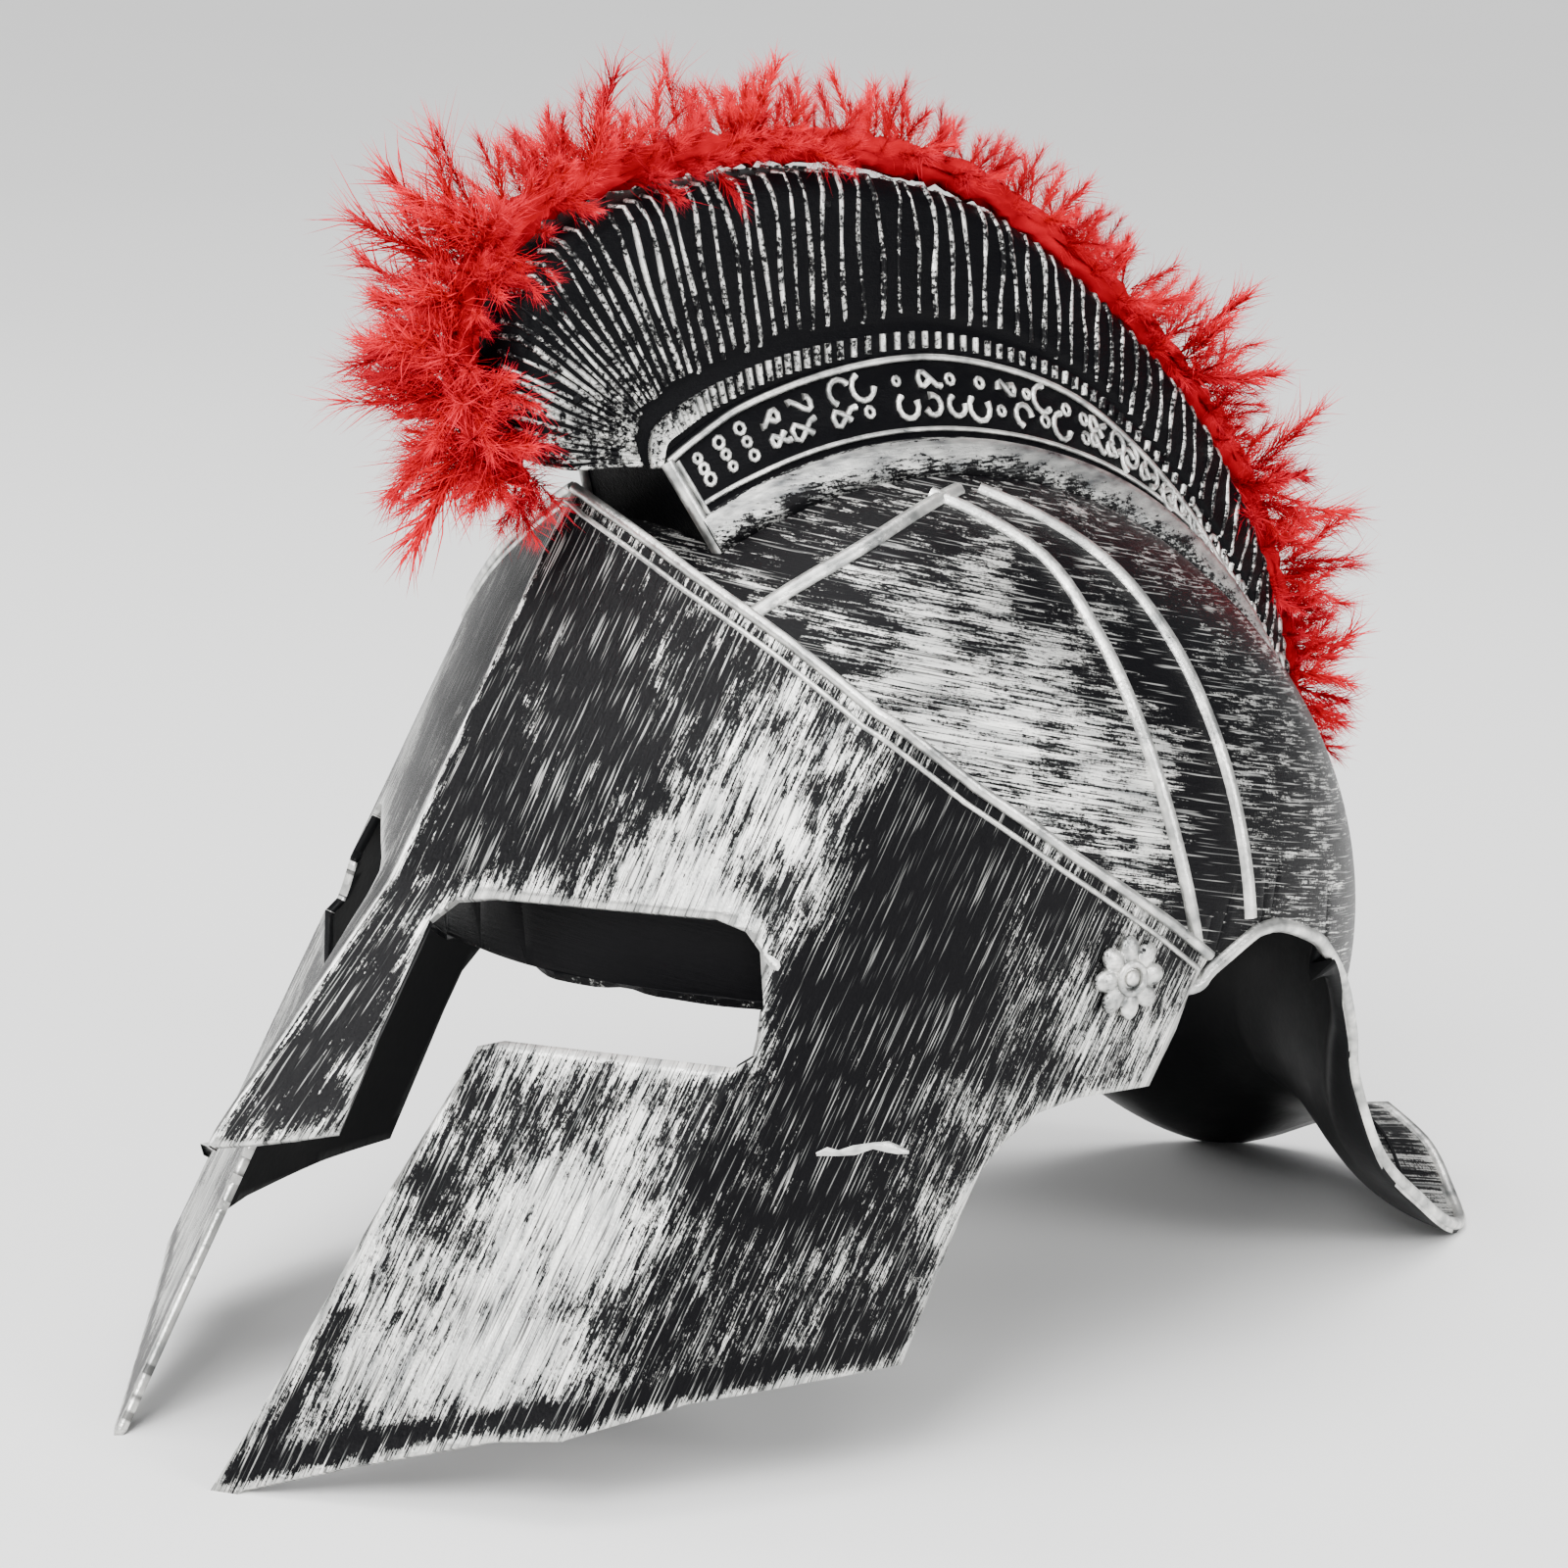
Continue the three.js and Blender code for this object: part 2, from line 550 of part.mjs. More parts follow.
/** Raised curl on the base. */
function scroll({ along: place, share, radius, start, sweep }, sign) {
  const face = baseFace(place, share, sign);
  const line = [];
  for (let i = 0; i <= 3; i++) {
    const angle = 2 * Math.PI * (start + (sweep * i) / 3);
    const spread = radius * (1 - 0.1 * i);
    line.push(
      face.point
        .clone()
        .addScaledVector(face.run, spread * 1.3 * Math.cos(angle))
        .addScaledVector(face.rise, spread * Math.sin(angle)),
    );
  }
  return cord(line, line.map(() => face.normal), 0.9, RELIEF_HEIGHT);
}

/** Raised dot on the base. */
function dot(place, share, sign) {
  const face = baseFace(place, share, sign);
  const ring = (radius, height) =>
    [0, 1, 2, 3].map((i) => {
      const angle = (2 * Math.PI * i) / 4;
      return face.point
        .clone()
        .addScaledVector(face.run, radius * Math.cos(angle))
        .addScaledVector(face.rise, radius * Math.sin(angle))
        .addScaledVector(face.normal, height);
    });
  return skin([ring(1.5, -1), ring(1.2, RELIEF_HEIGHT)]);
}

/** Hollow crest: ribbed comb, base, flange and raised ornament. */
function crest(dome) {
  const solidBase = crestBase(BASE_TOP, BASE_BOTTOM);
  const wide = crestBase(BASE_TOP + FLANGE_EXTRA, BASE_BOTTOM + FLANGE_EXTRA);
  const flange = wide.intersect(domeBody(FLANGE_HEIGHT));
  const ornament = [1, -1].flatMap((sign) => [
    ...SCROLLS.map((row) => scroll(row, sign)),
    ...DOT_PLACES.map((place, i) => dot(place, i % 2 ? 0.2 : 0.8, sign)),
  ]);
  const outside = wasm.Manifold.union([comb(COMB_STATIONS, 0, true), solidBase, flange, ...ornament]);
  const hollow = comb(15, -CREST_WALL, false, -0.1).intersect(sideCut(combCore()));
  const hollowBase = crestBase(BASE_TOP - CREST_WALL, BASE_BOTTOM - CREST_WALL, 0.055);
  return whole(outside.subtract(hollow.add(hollowBase)).subtract(dome));
}

/** Side view of the comb's inside, a wall in from its foot and ends. */
function combCore() {
  const core = [];
  const shares = 16;
  for (let i = 1; i < shares; i++) {
    const row = along(COMB, i / shares);
    const long = Math.hypot(row.topBack - row.footBack, row.topUp - row.footUp);
    const share = 1 - (1.1 * CREST_WALL) / long;
    core.push({
      back: row.footBack + share * (row.topBack - row.footBack),
      up: row.footUp + share * (row.topUp - row.footUp),
    });
  }
  for (let i = shares - 1; i > 1; i--) {
    const row = along(COMB, i / shares);
    core.push({ back: row.footBack + 1.2, up: row.footUp - CREST_WALL });
  }
  return core;
}

/** One lock of the feather trim, from its root out along a direction. */
function lock(root, direction, bend, length, radius) {
  const side = new THREE.Vector3(1, 0, 0).cross(direction).normalize();
  const other = direction.clone().cross(side).normalize();
  const shares = [[-0.1, 0.8], [0.45, 1], [1, 0.2]];
  return skin(
    shares.map(([out, wide], i) => {
      const middle = root
        .clone()
        .addScaledVector(direction, out * length)
        .addScaledVector(bend, out * out * length);
      return [0, 1, 2, 3].map((k) => {
        const angle = (2 * Math.PI * (k + 0.5)) / 4;
        return middle
          .clone()
          .addScaledVector(side, wide * radius * Math.cos(angle))
          .addScaledVector(other, wide * radius * Math.sin(angle));
      });
    }),
  );
}

/** Feather trim: locks fused to a strip that follows the comb's top. */
function plume(dome) {
  const place = (share) => {
    const row = along(TRIM, share);
    const next = along(TRIM, Math.min(share + 0.01, 1));
    const last = along(TRIM, Math.max(share - 0.01, 0));
    const run = new THREE.Vector3(0, next.back - last.back, next.up - last.up).normalize();
    const out = new THREE.Vector3(0, -run.z, run.y).normalize();
    return { point: new THREE.Vector3(0, row.back, row.up), run, out };
  };
  const rings = [];
  for (let i = 0; i <= 20; i++) {
    const { point, out } = place(i / 20);
    const wide = 5.5;
    rings.push(
      mirroredRing(
        [[1, -5], [1.1, -1], [0.6, 2.5]].map(([side, high]) =>
          point.clone().add(new THREE.Vector3(side * wide, 0, 0)).addScaledVector(out, high),
        ),
      ),
    );
  }
  const pieces = [skin(rings)];
  for (let i = 0; i < LOCKS; i++) {
    const share = (i + 0.5) / LOCKS;
    const { point, run, out } = place(share);
    const lean = [0, 0.75, -0.75][i % 3];
    const direction = out.clone().add(new THREE.Vector3(lean, 0, 0)).normalize();
    const sweep = 0.35 * Math.sin(2.4 * i) + 0.25;
    const long = LOCK_LENGTH * (0.8 + 0.35 * Math.abs(Math.sin(1.7 * i))) * (share < 0.3 ? 1.25 : 0.9);
    pieces.push(lock(point, direction, run.clone().multiplyScalar(sweep), long, LOCK_RADIUS));
  }
  const made = wasm.Manifold.union(pieces).subtract(comb(23, 4 * FIT_GAP + COMB_RIB_DEPTH, false, 0.045)).subtract(dome);
  return whole(made);
}

/** Frame at the rosette's place on the mask. */
function rosetteFrame(sign) {
  const [round, up] = [157, 100.9];
  const point = maskPoint(round, up, sign);
  const run = maskPoint(round + 4, up, sign).sub(maskPoint(round - 4, up, sign)).normalize();
  const rise = maskPoint(round, up + 4, sign).sub(maskPoint(round, up - 4, sign)).normalize();
  const normal = run.clone().cross(rise).multiplyScalar(-sign).normalize();
  if (normal.x * sign < 0) normal.negate();
  return { point, normal };
}

/** Turned or drawn geometry with its Z axis along the rosette's normal. */
function onRosette(geometry, sign) {
  const { point, normal } = rosetteFrame(sign);
  const turn = new THREE.Quaternion().setFromUnitVectors(new THREE.Vector3(0, 0, 1), normal);
  geometry.applyQuaternion(turn);
  geometry.translate(point.x, point.y, point.z);
  return solid(geometry);
}

/** Turned body about the rosette's axis, from pairs of radius and height. */
function turned(profile, sign, segments = 10) {
  const lathe = new THREE.LatheGeometry(profile.map(([r, h]) => new THREE.Vector2(r, h)), segments);
  lathe.rotateX(Math.PI / 2);
  return onRosette(lathe, sign);
}

/** Rosette with its petals, raised ring, shank and inner head. */
function rosette(sign) {
  const shape = new THREE.Shape();
  for (let i = 0; i < 3 * ROSETTE_PETALS; i++) {
    const angle = (2 * Math.PI * i) / (3 * ROSETTE_PETALS);
    const radius = ROSETTE_RADIUS * [1, 0.97, 0.72][i % 3];
    const [x, y] = [radius * Math.cos(angle), radius * Math.sin(angle)];
    if (i) shape.lineTo(x, y);
    else shape.moveTo(x, y);
  }
  const plate = new THREE.ExtrudeGeometry(shape, { depth: ROSETTE_THICK, bevelEnabled: false });
  plate.translate(0, 0, FIT_GAP);
  const top = FIT_GAP + ROSETTE_THICK;
  const boss = [[0, top - 1], [5, top - 1], [5, top + 0.6], [3.6, top + 0.9], [3.2, top + 0.3], [2, top + 1.6], [0, top + 2]];
  const inside = -HEAD_DEPTH;
  const shank = [[0, inside - 1.6], [3.6, inside - 1.6], [3.6, inside - 0.4], [SHANK_RADIUS, inside - 0.4],
    [SHANK_RADIUS, top - 0.5], [0, top - 0.5]];
  return onRosette(plate, sign).add(turned(boss, sign)).add(turned(shank, sign, 10));
}

/** Clear hole for a rosette's shank. */
function rosetteHole(sign) {
  const radius = SHANK_RADIUS + FIT_GAP;
  return turned([[0, -14], [radius, -14], [radius, 6], [0, 6]], sign, 10);
}

/** Skull with its ribs and edge bead, cut flat where it stands. */
function skull(holes) {
  const { shell, edge, normals } = skullShell();
  const first = RIM.findIndex((row) => row.side < HALF_WIDTH * 0.951 && row.back > LENGTH * 0.56);
  const count = edge.length - 2 * first + 1;
  const picks = Array.from({ length: count }, (_, i) => first + i);
  const line = picks.map((i) => edge[i]);
  const bead = cord(line, picks.map((i) => normals[i]), BEAD_HALF_WIDTH, BEAD_HEIGHT);
  const ribs = RIBS.flatMap((rows) => [rib(rows, 1), rib(rows, -1)]);
  const floor = sideCut([
    { back: -60, up: -40 }, { back: LENGTH + 60, up: -40 }, { back: LENGTH + 60, up: 0 }, { back: -60, up: 0 },
  ]);
  return whole(wasm.Manifold.union([shell, bead, ...ribs]).subtract(holes).subtract(floor));
}

const holes = rosetteHole(1).add(rosetteHole(-1));
const clearOfDome = domeBody(3.5 * FIT_GAP);
const clearOfRibs = clearOfDome.add(
  wasm.Manifold.union(RIBS.flatMap((rows) => [rib(rows, 1, 2 * FIT_GAP), rib(rows, -1, 2 * FIT_GAP)])),
);

/** Named mesh of a solid. */
function part(name, made, colour, roughness, metalness) {
  const mesh = made.simplify(SHORTEST_EDGE).getMesh();
  const geometry = new THREE.BufferGeometry();
  const count = mesh.numProp;
  const place = new Float32Array((mesh.vertProperties.length / count) * 3);
  for (let i = 0; i < place.length / 3; i++)
    place.set(mesh.vertProperties.subarray(i * count, i * count + 3), 3 * i);
  geometry.setAttribute("position", new THREE.BufferAttribute(place, 3));
  geometry.setIndex(new THREE.BufferAttribute(mesh.triVerts, 1));
  const material = new THREE.MeshStandardMaterial({ color: colour, roughness, metalness });
  const shown = new THREE.Mesh(geometry, material);
  shown.name = name;
  return shown;
}

const silver = [0x7d7f80, 0.45, 0.5];
const group = new THREE.Group();
group.add(
  part("skull", skull(holes), ...silver),
  part("face_mask", faceMask(holes), ...silver),
  part("crest", crest(clearOfRibs), ...silver),
  part("plume", plume(clearOfDome), 0xd9232e, 0.9, 0),
  part("rosette_left", rosette(1), ...silver),
  part("rosette_right", rosette(-1), ...silver),
);

const bounds = new THREE.Box3().setFromObject(group);
const middle = bounds.getCenter(new THREE.Vector3());
group.position.set(-middle.x, -middle.y, -bounds.min.z);

export default group;
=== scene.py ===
"""Looks of a costume gladiator helmet in dry-brushed plastic with a red feather boa.

Lengths in the tables are millimetres: side from the middle plane, back from the
cheek tips and up from the table before the part was set level.
"""

import logging
import math
import random
from collections.abc import Callable, Iterable, Iterator, Sequence
from dataclasses import dataclass, field
from enum import Enum
import bmesh
import bpy
from mathutils import Matrix, Vector


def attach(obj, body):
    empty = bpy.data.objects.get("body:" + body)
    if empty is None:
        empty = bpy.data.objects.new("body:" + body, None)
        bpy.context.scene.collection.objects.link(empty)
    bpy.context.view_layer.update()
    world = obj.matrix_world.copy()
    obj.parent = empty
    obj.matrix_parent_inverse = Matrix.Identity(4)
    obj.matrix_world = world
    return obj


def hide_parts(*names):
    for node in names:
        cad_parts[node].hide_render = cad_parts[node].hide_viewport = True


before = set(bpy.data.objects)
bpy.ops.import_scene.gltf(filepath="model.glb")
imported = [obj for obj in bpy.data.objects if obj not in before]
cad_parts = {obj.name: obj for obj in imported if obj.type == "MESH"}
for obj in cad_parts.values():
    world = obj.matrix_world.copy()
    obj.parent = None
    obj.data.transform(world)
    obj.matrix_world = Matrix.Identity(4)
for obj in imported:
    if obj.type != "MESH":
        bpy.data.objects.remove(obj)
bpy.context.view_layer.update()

LOG = logging.getLogger("helmet")
MM = 0.001
MIDDLE_BACK = 183.08
FLOOR_LIFT = 1.8
WALL = 2.2
# Random turns are drawn up to here, in radians
TURN = 6.28

Mesh = bmesh.types.BMesh
Material = bpy.types.Material
Piece = bpy.types.Object
Socket = bpy.types.NodeSocket
Tree = bpy.types.NodeTree
Row = tuple[float, ...]
Cord = Sequence[tuple[Vector, float]]


class Side(Enum):
    """The two halves of the helmet."""

    LEFT = 1
    RIGHT = -1


class Coordinates(Enum):
    """What a pattern follows."""

    SURFACE = "the piece's own UV map, in metres"
    PLACE = "object coordinates"


def placed(side: float, back: float, up: float) -> Vector:
    """Point of the row frame in metres, for a place in the tables' millimetres."""
    return Vector((side, back - MIDDLE_BACK, up + FLOOR_LIFT)) * MM


def clamp(value: float, low: float = 0.0, high: float = 1.0) -> float:
    """Value held between two limits."""
    return max(low, min(high, value))


def along(rows: Sequence[Row], share: float) -> Row:
    """Smooth curve through the rows of a table.

    Args:
        rows: Rows of numbers, evenly spaced in the curve's own measure.
        share: Place on the curve, 0 at the first row and 1 at the last.

    Returns:
        A row of the same length at that place.
    """
    last = len(rows) - 1
    place = clamp(share) * last
    i = min(int(place), last - 1)
    t = place - i
    a, b, c, d = (rows[max(0, min(last, i + k))] for k in (-1, 0, 1, 2))
    return tuple(
        0.5 * (2 * q + (r - p) * t + (2 * p - 5 * q + 4 * r - s) * t * t + (3 * q - p - 3 * r + s) * t**3)
        for p, q, r, s in zip(a, b, c, d)
    )


def between(rows: Sequence[Row], place: float) -> float:
    """Second column of a table at a place in its first column.

    Args:
        rows: Rows of a place and a value, by rising place.
        place: Where to read the table.

    Returns:
        The value there, in a straight line between rows.
    """
    if place <= rows[0][0]:
        return rows[0][1]
    for (a, fa), (b, fb) in zip(rows, rows[1:]):
        if place <= b:
            return fa + (fb - fa) * (place - a) / (b - a)
    return rows[-1][1]


def linear(hex_colour: str) -> tuple[float, float, float, float]:
    """Linear colour for an sRGB hex value such as #c8c8c8.

    Args:
        hex_colour: Six hex digits after a #.

    Returns:
        Red, green, blue and full opacity for a shader socket.
    """
    parts = [int(hex_colour[i : i + 2], 16) / 255 for i in (1, 3, 5)]
    red, green, blue = (c / 12.92 if c <= 0.04045 else ((c + 0.055) / 1.055) ** 2.4 for c in parts)
    return red, green, blue, 1.0


def add_node(
    tree: Tree,
    kind: str,
    settings: dict[str, object] | None = None,
    feeds: dict[str | int, object] | None = None,
) -> bpy.types.Node:
    """Add a node with its settings and what feeds its sockets.

    Args:
        tree: Node tree that takes the node.
        kind: Blender's name for the node's type.
        settings: Properties of the node.
        feeds: Values, or output sockets of other nodes, by input name or number.

    Returns:
        The new node.
    """
    made = tree.nodes.new(kind)
    for name, value in (settings or {}).items():
        setattr(made, name, value)
    for key, value in (feeds or {}).items():
        if isinstance(value, Socket):
            tree.links.new(value, made.inputs[key])
        else:
            made.inputs[key].default_value = value
    return made


@dataclass(frozen=True)
class Shading:
    """Node tree of one material, with the nodes that the finishes share."""

    tree: Tree

    def place(self) -> Socket:
        """Object coordinates, in metres."""
        return add_node(self.tree, "ShaderNodeTexCoord").outputs["Object"]

    def attribute(self, name: str) -> Socket:
        """Float attribute of the mesh."""
        return add_node(self.tree, "ShaderNodeAttribute", {"attribute_name": name}).outputs["Fac"]

    def noise(self, vector: Socket, size: float, detail: float, rough: float = 0.5) -> Socket:
        """Noise, about 0 to 1, with largest forms of a size in mm for a vector in metres."""
        feeds = {"Vector": vector, "Scale": 1000 / size, "Detail": detail, "Roughness": rough}
        return add_node(self.tree, "ShaderNodeTexNoise", {}, feeds).outputs[0]

    def ranged(
        self, value: Socket, source: Row, result: Row = (0.0, 1.0), curve: str = "LINEAR"
    ) -> Socket:
        """Map one range of values to another and hold them there.

        Args:
            value: Value to map.
            source: Values that give the first and the second end of the result.
            result: The two ends.
            curve: Blender's name for the interpolation.

        Returns:
            The mapped value.
        """
        feeds: dict[str | int, object] = {"Value": value}
        feeds.update(zip(("From Min", "From Max", "To Min", "To Max"), (*source, *result)))
        return add_node(self.tree, "ShaderNodeMapRange", {"interpolation_type": curve}, feeds).outputs[0]

    def sum(self, operation: str, *values: Socket | float, held: bool = False) -> Socket:
        """Calculation with Blender's name for the operation, held between 0 and 1 if asked."""
        settings = {"operation": operation, "use_clamp": held}
        return add_node(self.tree, "ShaderNodeMath", settings, dict(enumerate(values))).outputs[0]

    def mixed(self, share: Socket, first: str | Socket, second: str | Socket) -> Socket:
        """Mix two colours.

        Args:
            share: How much there is of the second.
            first: Hex value, or another node's colour.
            second: The same for the other colour.

        Returns:
            The mixed colour.
        """
        ends = [linear(colour) if isinstance(colour, str) else colour for colour in (first, second)]
        feeds = {0: share, 6: ends[0], 7: ends[1]}
        return add_node(self.tree, "ShaderNodeMix", {"data_type": "RGBA"}, feeds).outputs[2]

    def bumped(self, height: Socket, strength: float, depth: float) -> Socket:
        """Normal for a relief of a depth in metres."""
        feeds = {"Height": height, "Strength": strength, "Distance": depth}
        return add_node(self.tree, "ShaderNodeBump", {}, feeds).outputs[0]

    def close(self, **feeds: object) -> None:
        """Add the shader, fed by short names for its sockets, and the output."""
        names = {
            "colour": "Base Color",
            "metallic": "Metallic",
            "rough": "Roughness",
            "ior": "IOR",
            "gloss": "Specular IOR Level",
            "normal": "Normal",
        }
        sockets = {names[key]: value for key, value in feeds.items()}
        shader = add_node(self.tree, "ShaderNodeBsdfPrincipled", {}, sockets).outputs[0]
        add_node(self.tree, "ShaderNodeOutputMaterial", {}, {"Surface": shader})


def new_material(name: str) -> tuple[Material, Shading]:
    """Make an empty node material.

    Args:
        name: The material's name.

    Returns:
        The material and its nodes.
    """
    made = bpy.data.materials.new(name)
    made.use_nodes = True
    made.node_tree.nodes.clear()
    return made, Shading(made.node_tree)


@dataclass(frozen=True)
class DryBrushedPlastic:
    """Black injection-moulded ABS with silver paint dragged over it by a nearly dry brush.

    The eye gets fine broken strokes of a bright metallic silver, in patches where
    the brush was fuller, over a satin black that shows in every hollow. Real
    bristles leave lines of 0.1 to 0.3 mm; these are drawn two to three times as
    coarse, so that they hold at the picture's size. Lengths are in mm.
    """

    name: str
    stroke_length: float = 26.0
    stroke_width: float = 0.9
    cover: float = 0.5
    follows: Coordinates = Coordinates.SURFACE
    black: str = "#060608"
    silver: str = "#fbfaf5"
    shade: str = "#8f9190"
    lines: float = 0.8
    gloss: float = 0.08
    patch_size: float = 18.0
    grit_size: float = 0.7

    def strokes(self, nodes: Shading, origin: Socket, scale: Row, detail: float, rough: float) -> Socket:
        """Add noise drawn out along the strokes.

        Args:
            nodes: Nodes of the material.
            origin: Coordinates in metres, with the strokes along the second.
            scale: Shares of the strokes' width and length.
            detail: Octaves under the first.
            rough: Share that each octave has of the one before.

        Returns:
            The noise.
        """
        across = 1000 / (self.stroke_width * scale[0])
        down = 1000 / (self.stroke_length * scale[1])
        feeds = {"Vector": origin, "Scale": (across, down, across)}
        drawn_out = add_node(nodes.tree, "ShaderNodeMapping", {}, feeds).outputs[0]
        return nodes.noise(drawn_out, 1000, detail, rough)

    def build(self) -> Material:
        """Material of this finish.

        Returns:
            The node material, which reads the piece's float attribute "brushed".
        """
        made, nodes = new_material(self.name)
        place = origin = nodes.place()
        if self.follows is Coordinates.SURFACE:
            origin = add_node(nodes.tree, "ShaderNodeUVMap", {"uv_map": "surface"}).outputs["UV"]
        fine = self.strokes(nodes, origin, (1.0, 0.5), 4.0, 0.75)
        broad = self.strokes(nodes, origin, (4.0, 1.3), 2.0, 0.6)
        hair = self.strokes(nodes, origin, (0.8, 1.2), 1.0, 0.5)
        patch = nodes.noise(place, self.patch_size, 4.0, 0.62)
        grit = nodes.noise(place, self.grit_size, 2.0, 0.7)
        brushed = nodes.attribute("brushed")
        sources = ((fine, 3.2), (broad, 1.0), (patch, 2.0), (grit, 1.0), (brushed, 1.5))
        total: Socket | float = 0.0
        for source, weight in sources:
            total = nodes.sum("MULTIPLY_ADD", source, weight, total)
        middle = 0.5 * sum(weight for _, weight in sources) - 2.0 * (self.cover - 0.5)
        paint = nodes.ranged(total, (middle - 0.06, middle + 0.36), curve="SMOOTHSTEP")
        # Single bristles: dark ones scratch the paint through, pale ones carry it past the patches
        dark_line = nodes.ranged(hair, (0.455, 0.375), (0.0, self.lines))
        bright_line = nodes.ranged(hair, (0.61, 0.72), (0.0, 0.75 * self.lines))
        bright_line = nodes.sum("MULTIPLY", bright_line, nodes.ranged(brushed, (-0.3, 0.2)))
        paint = nodes.sum("SUBTRACT", paint, dark_line)
        paint = nodes.sum("ADD", paint, bright_line, held=True)
        metal = nodes.mixed(nodes.ranged(broad, (0.3, 0.72)), self.shade, self.silver)
        nodes.close(
            colour=nodes.mixed(paint, self.black, metal),
            metallic=nodes.sum("MULTIPLY", paint, 0.9),
            rough=nodes.ranged(fine, (0.2, 0.8), (0.26, 0.44)),
            ior=1.53,
            gloss=self.gloss,
            normal=nodes.bumped(total, 0.22, 0.0004),
        )
        return made


@dataclass(frozen=True)
class MouldedPlastic:
    """Bare black ABS as it left the mould: satin, with a faint orange peel and no paint."""

    name: str
    colour: str = "#050506"
    worn: str = "#0e0f11"
    roughness: float = 0.42
    cloud_size: float = 22.0
    peel_size: float = 1.4

    def build(self) -> Material:
        """Material of this finish.

        Returns:
            The node material.
        """
        made, nodes = new_material(self.name)
        place = nodes.place()
        cloud = nodes.noise(place, self.cloud_size, 5.0, 0.6)
        nodes.close(
            colour=nodes.mixed(cloud, self.colour, self.worn),
            rough=nodes.ranged(cloud, (0.3, 0.7), (self.roughness - 0.07, self.roughness + 0.1)),
            ior=1.53,
            gloss=0.08,
            normal=nodes.bumped(nodes.noise(place, self.peel_size, 1.0), 0.12, 0.0003),
        )
        return made


@dataclass(frozen=True)
class DyedDown:
    """Dyed marabou down: matt barbs, deep red in the boa and paler where light comes through."""

    name: str
    deep: str = "#980616"
    bright: str = "#f0142e"
    tip: str = "#f52c46"
    cloud_size: float = 9.0

    def build(self) -> Material:
        """Material of this finish.

        Returns:
            The node material, which reads the float attributes "tone" and "reach".
        """
        made, nodes = new_material(self.name)
        cloud = nodes.noise(nodes.place(), self.cloud_size, 3.0)
        share = nodes.sum("MULTIPLY_ADD", cloud, 0.5, nodes.attribute("tone"))
        body = nodes.mixed(nodes.ranged(share, (0.25, 0.95)), self.deep, self.bright)
        light = nodes.ranged(nodes.attribute("reach"), (0.45, 1.3))
        nodes.close(colour=nodes.mixed(light, body, self.tip), rough=0.9, gloss=0.03)
        return made


@dataclass(frozen=True)
class StudioPaper:
    """Pale seamless paper, faintly mottled."""

    name: str
    colour: str = "#f4f4f3"
    shade: str = "#efefee"
    cloud_size: float = 500.0

    def build(self) -> Material:
        """Material of this finish.

        Returns:
            The node material.
        """
        made, nodes = new_material(self.name)
        cloud = nodes.noise(nodes.place(), self.cloud_size, 2.0)
        nodes.close(colour=nodes.mixed(cloud, self.colour, self.shade), rough=0.85)
        return made


@dataclass
class Finishes:
    """The helmet's materials, built once."""

    mask: Material
    dome: Material
    guard: Material
    comb: Material
    raised: Material
    edge: Material
    inside: Material
    down: Material
    paper: Material

    @classmethod
    def build(cls) -> "Finishes":
        """All materials of the scene.

        Returns:
            The finishes, with strokes along each large surface and short ones on the small forms.
        """
        place = Coordinates.PLACE
        base = DryBrushedPlastic(
            "brushed_base", 8, 0.7, 0.5, place, silver="#d9d9d5", shade="#6f7172", lines=0.25
        )
        return cls(
            mask=DryBrushedPlastic("brushed_mask", 14, 0.6, 0.44).build(),
            dome=DryBrushedPlastic("brushed_dome", 20, 0.55, 0.47).build(),
            guard=base.build(),
            comb=DryBrushedPlastic("brushed_comb", 6, 0.8, 0.0, place, lines=0.0, gloss=0.04).build(),
            raised=DryBrushedPlastic("brushed_relief", 3, 1.1, 0.54, place, lines=0.2).build(),
            edge=DryBrushedPlastic("brushed_edge", 5, 1.5, 0.82, place, lines=0.1).build(),
            inside=MouldedPlastic("moulded_inside").build(),
            down=DyedDown("dyed_down").build(),
            paper=StudioPaper("studio_paper").build(),
        )


def float_layer(bm: Mesh, name: str) -> bmesh.types.BMLayerItem:
    """Float layer of a mesh's vertices, made if it isn't there."""
    return bm.verts.layers.float.get(name) or bm.verts.layers.float.new(name)


def linked(name: str, data: bpy.types.ID) -> Piece:
    """Put an object in the scene.

    Args:
        name: The object's name.
        data: Its mesh, curve, light or camera.

    Returns:
        The object.
    """
    made = bpy.data.objects.new(name, data)
    bpy.context.scene.collection.objects.link(made)
    return made


def smooth(bm: Mesh) -> None:
    """Shade all of a mesh smooth."""
    for face in bm.faces:
        face.smooth = True


def shown(
    name: str,
    bm: Mesh,
    materials: Sequence[Material],
    stands_for: Iterable[str] = (),
) -> Piece:
    """Object of a finished mesh, riding on the helmet's body.

    Args:
        name: The piece's name.
        bm: Its mesh in metres, which is freed.
        materials: Its material slots.
        stands_for: CAD nodes that it replaces.

    Returns:
        The piece.
    """
    mesh = bpy.data.meshes.new(name)
    bm.to_mesh(mesh)
    bm.free()
    for material in materials:
        mesh.materials.append(material)
    piece = linked(name, mesh)
    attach(piece, "root")
    for node in stands_for:
        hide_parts(node)
    LOG.info("%s: %d faces", name, len(mesh.polygons))
    return piece


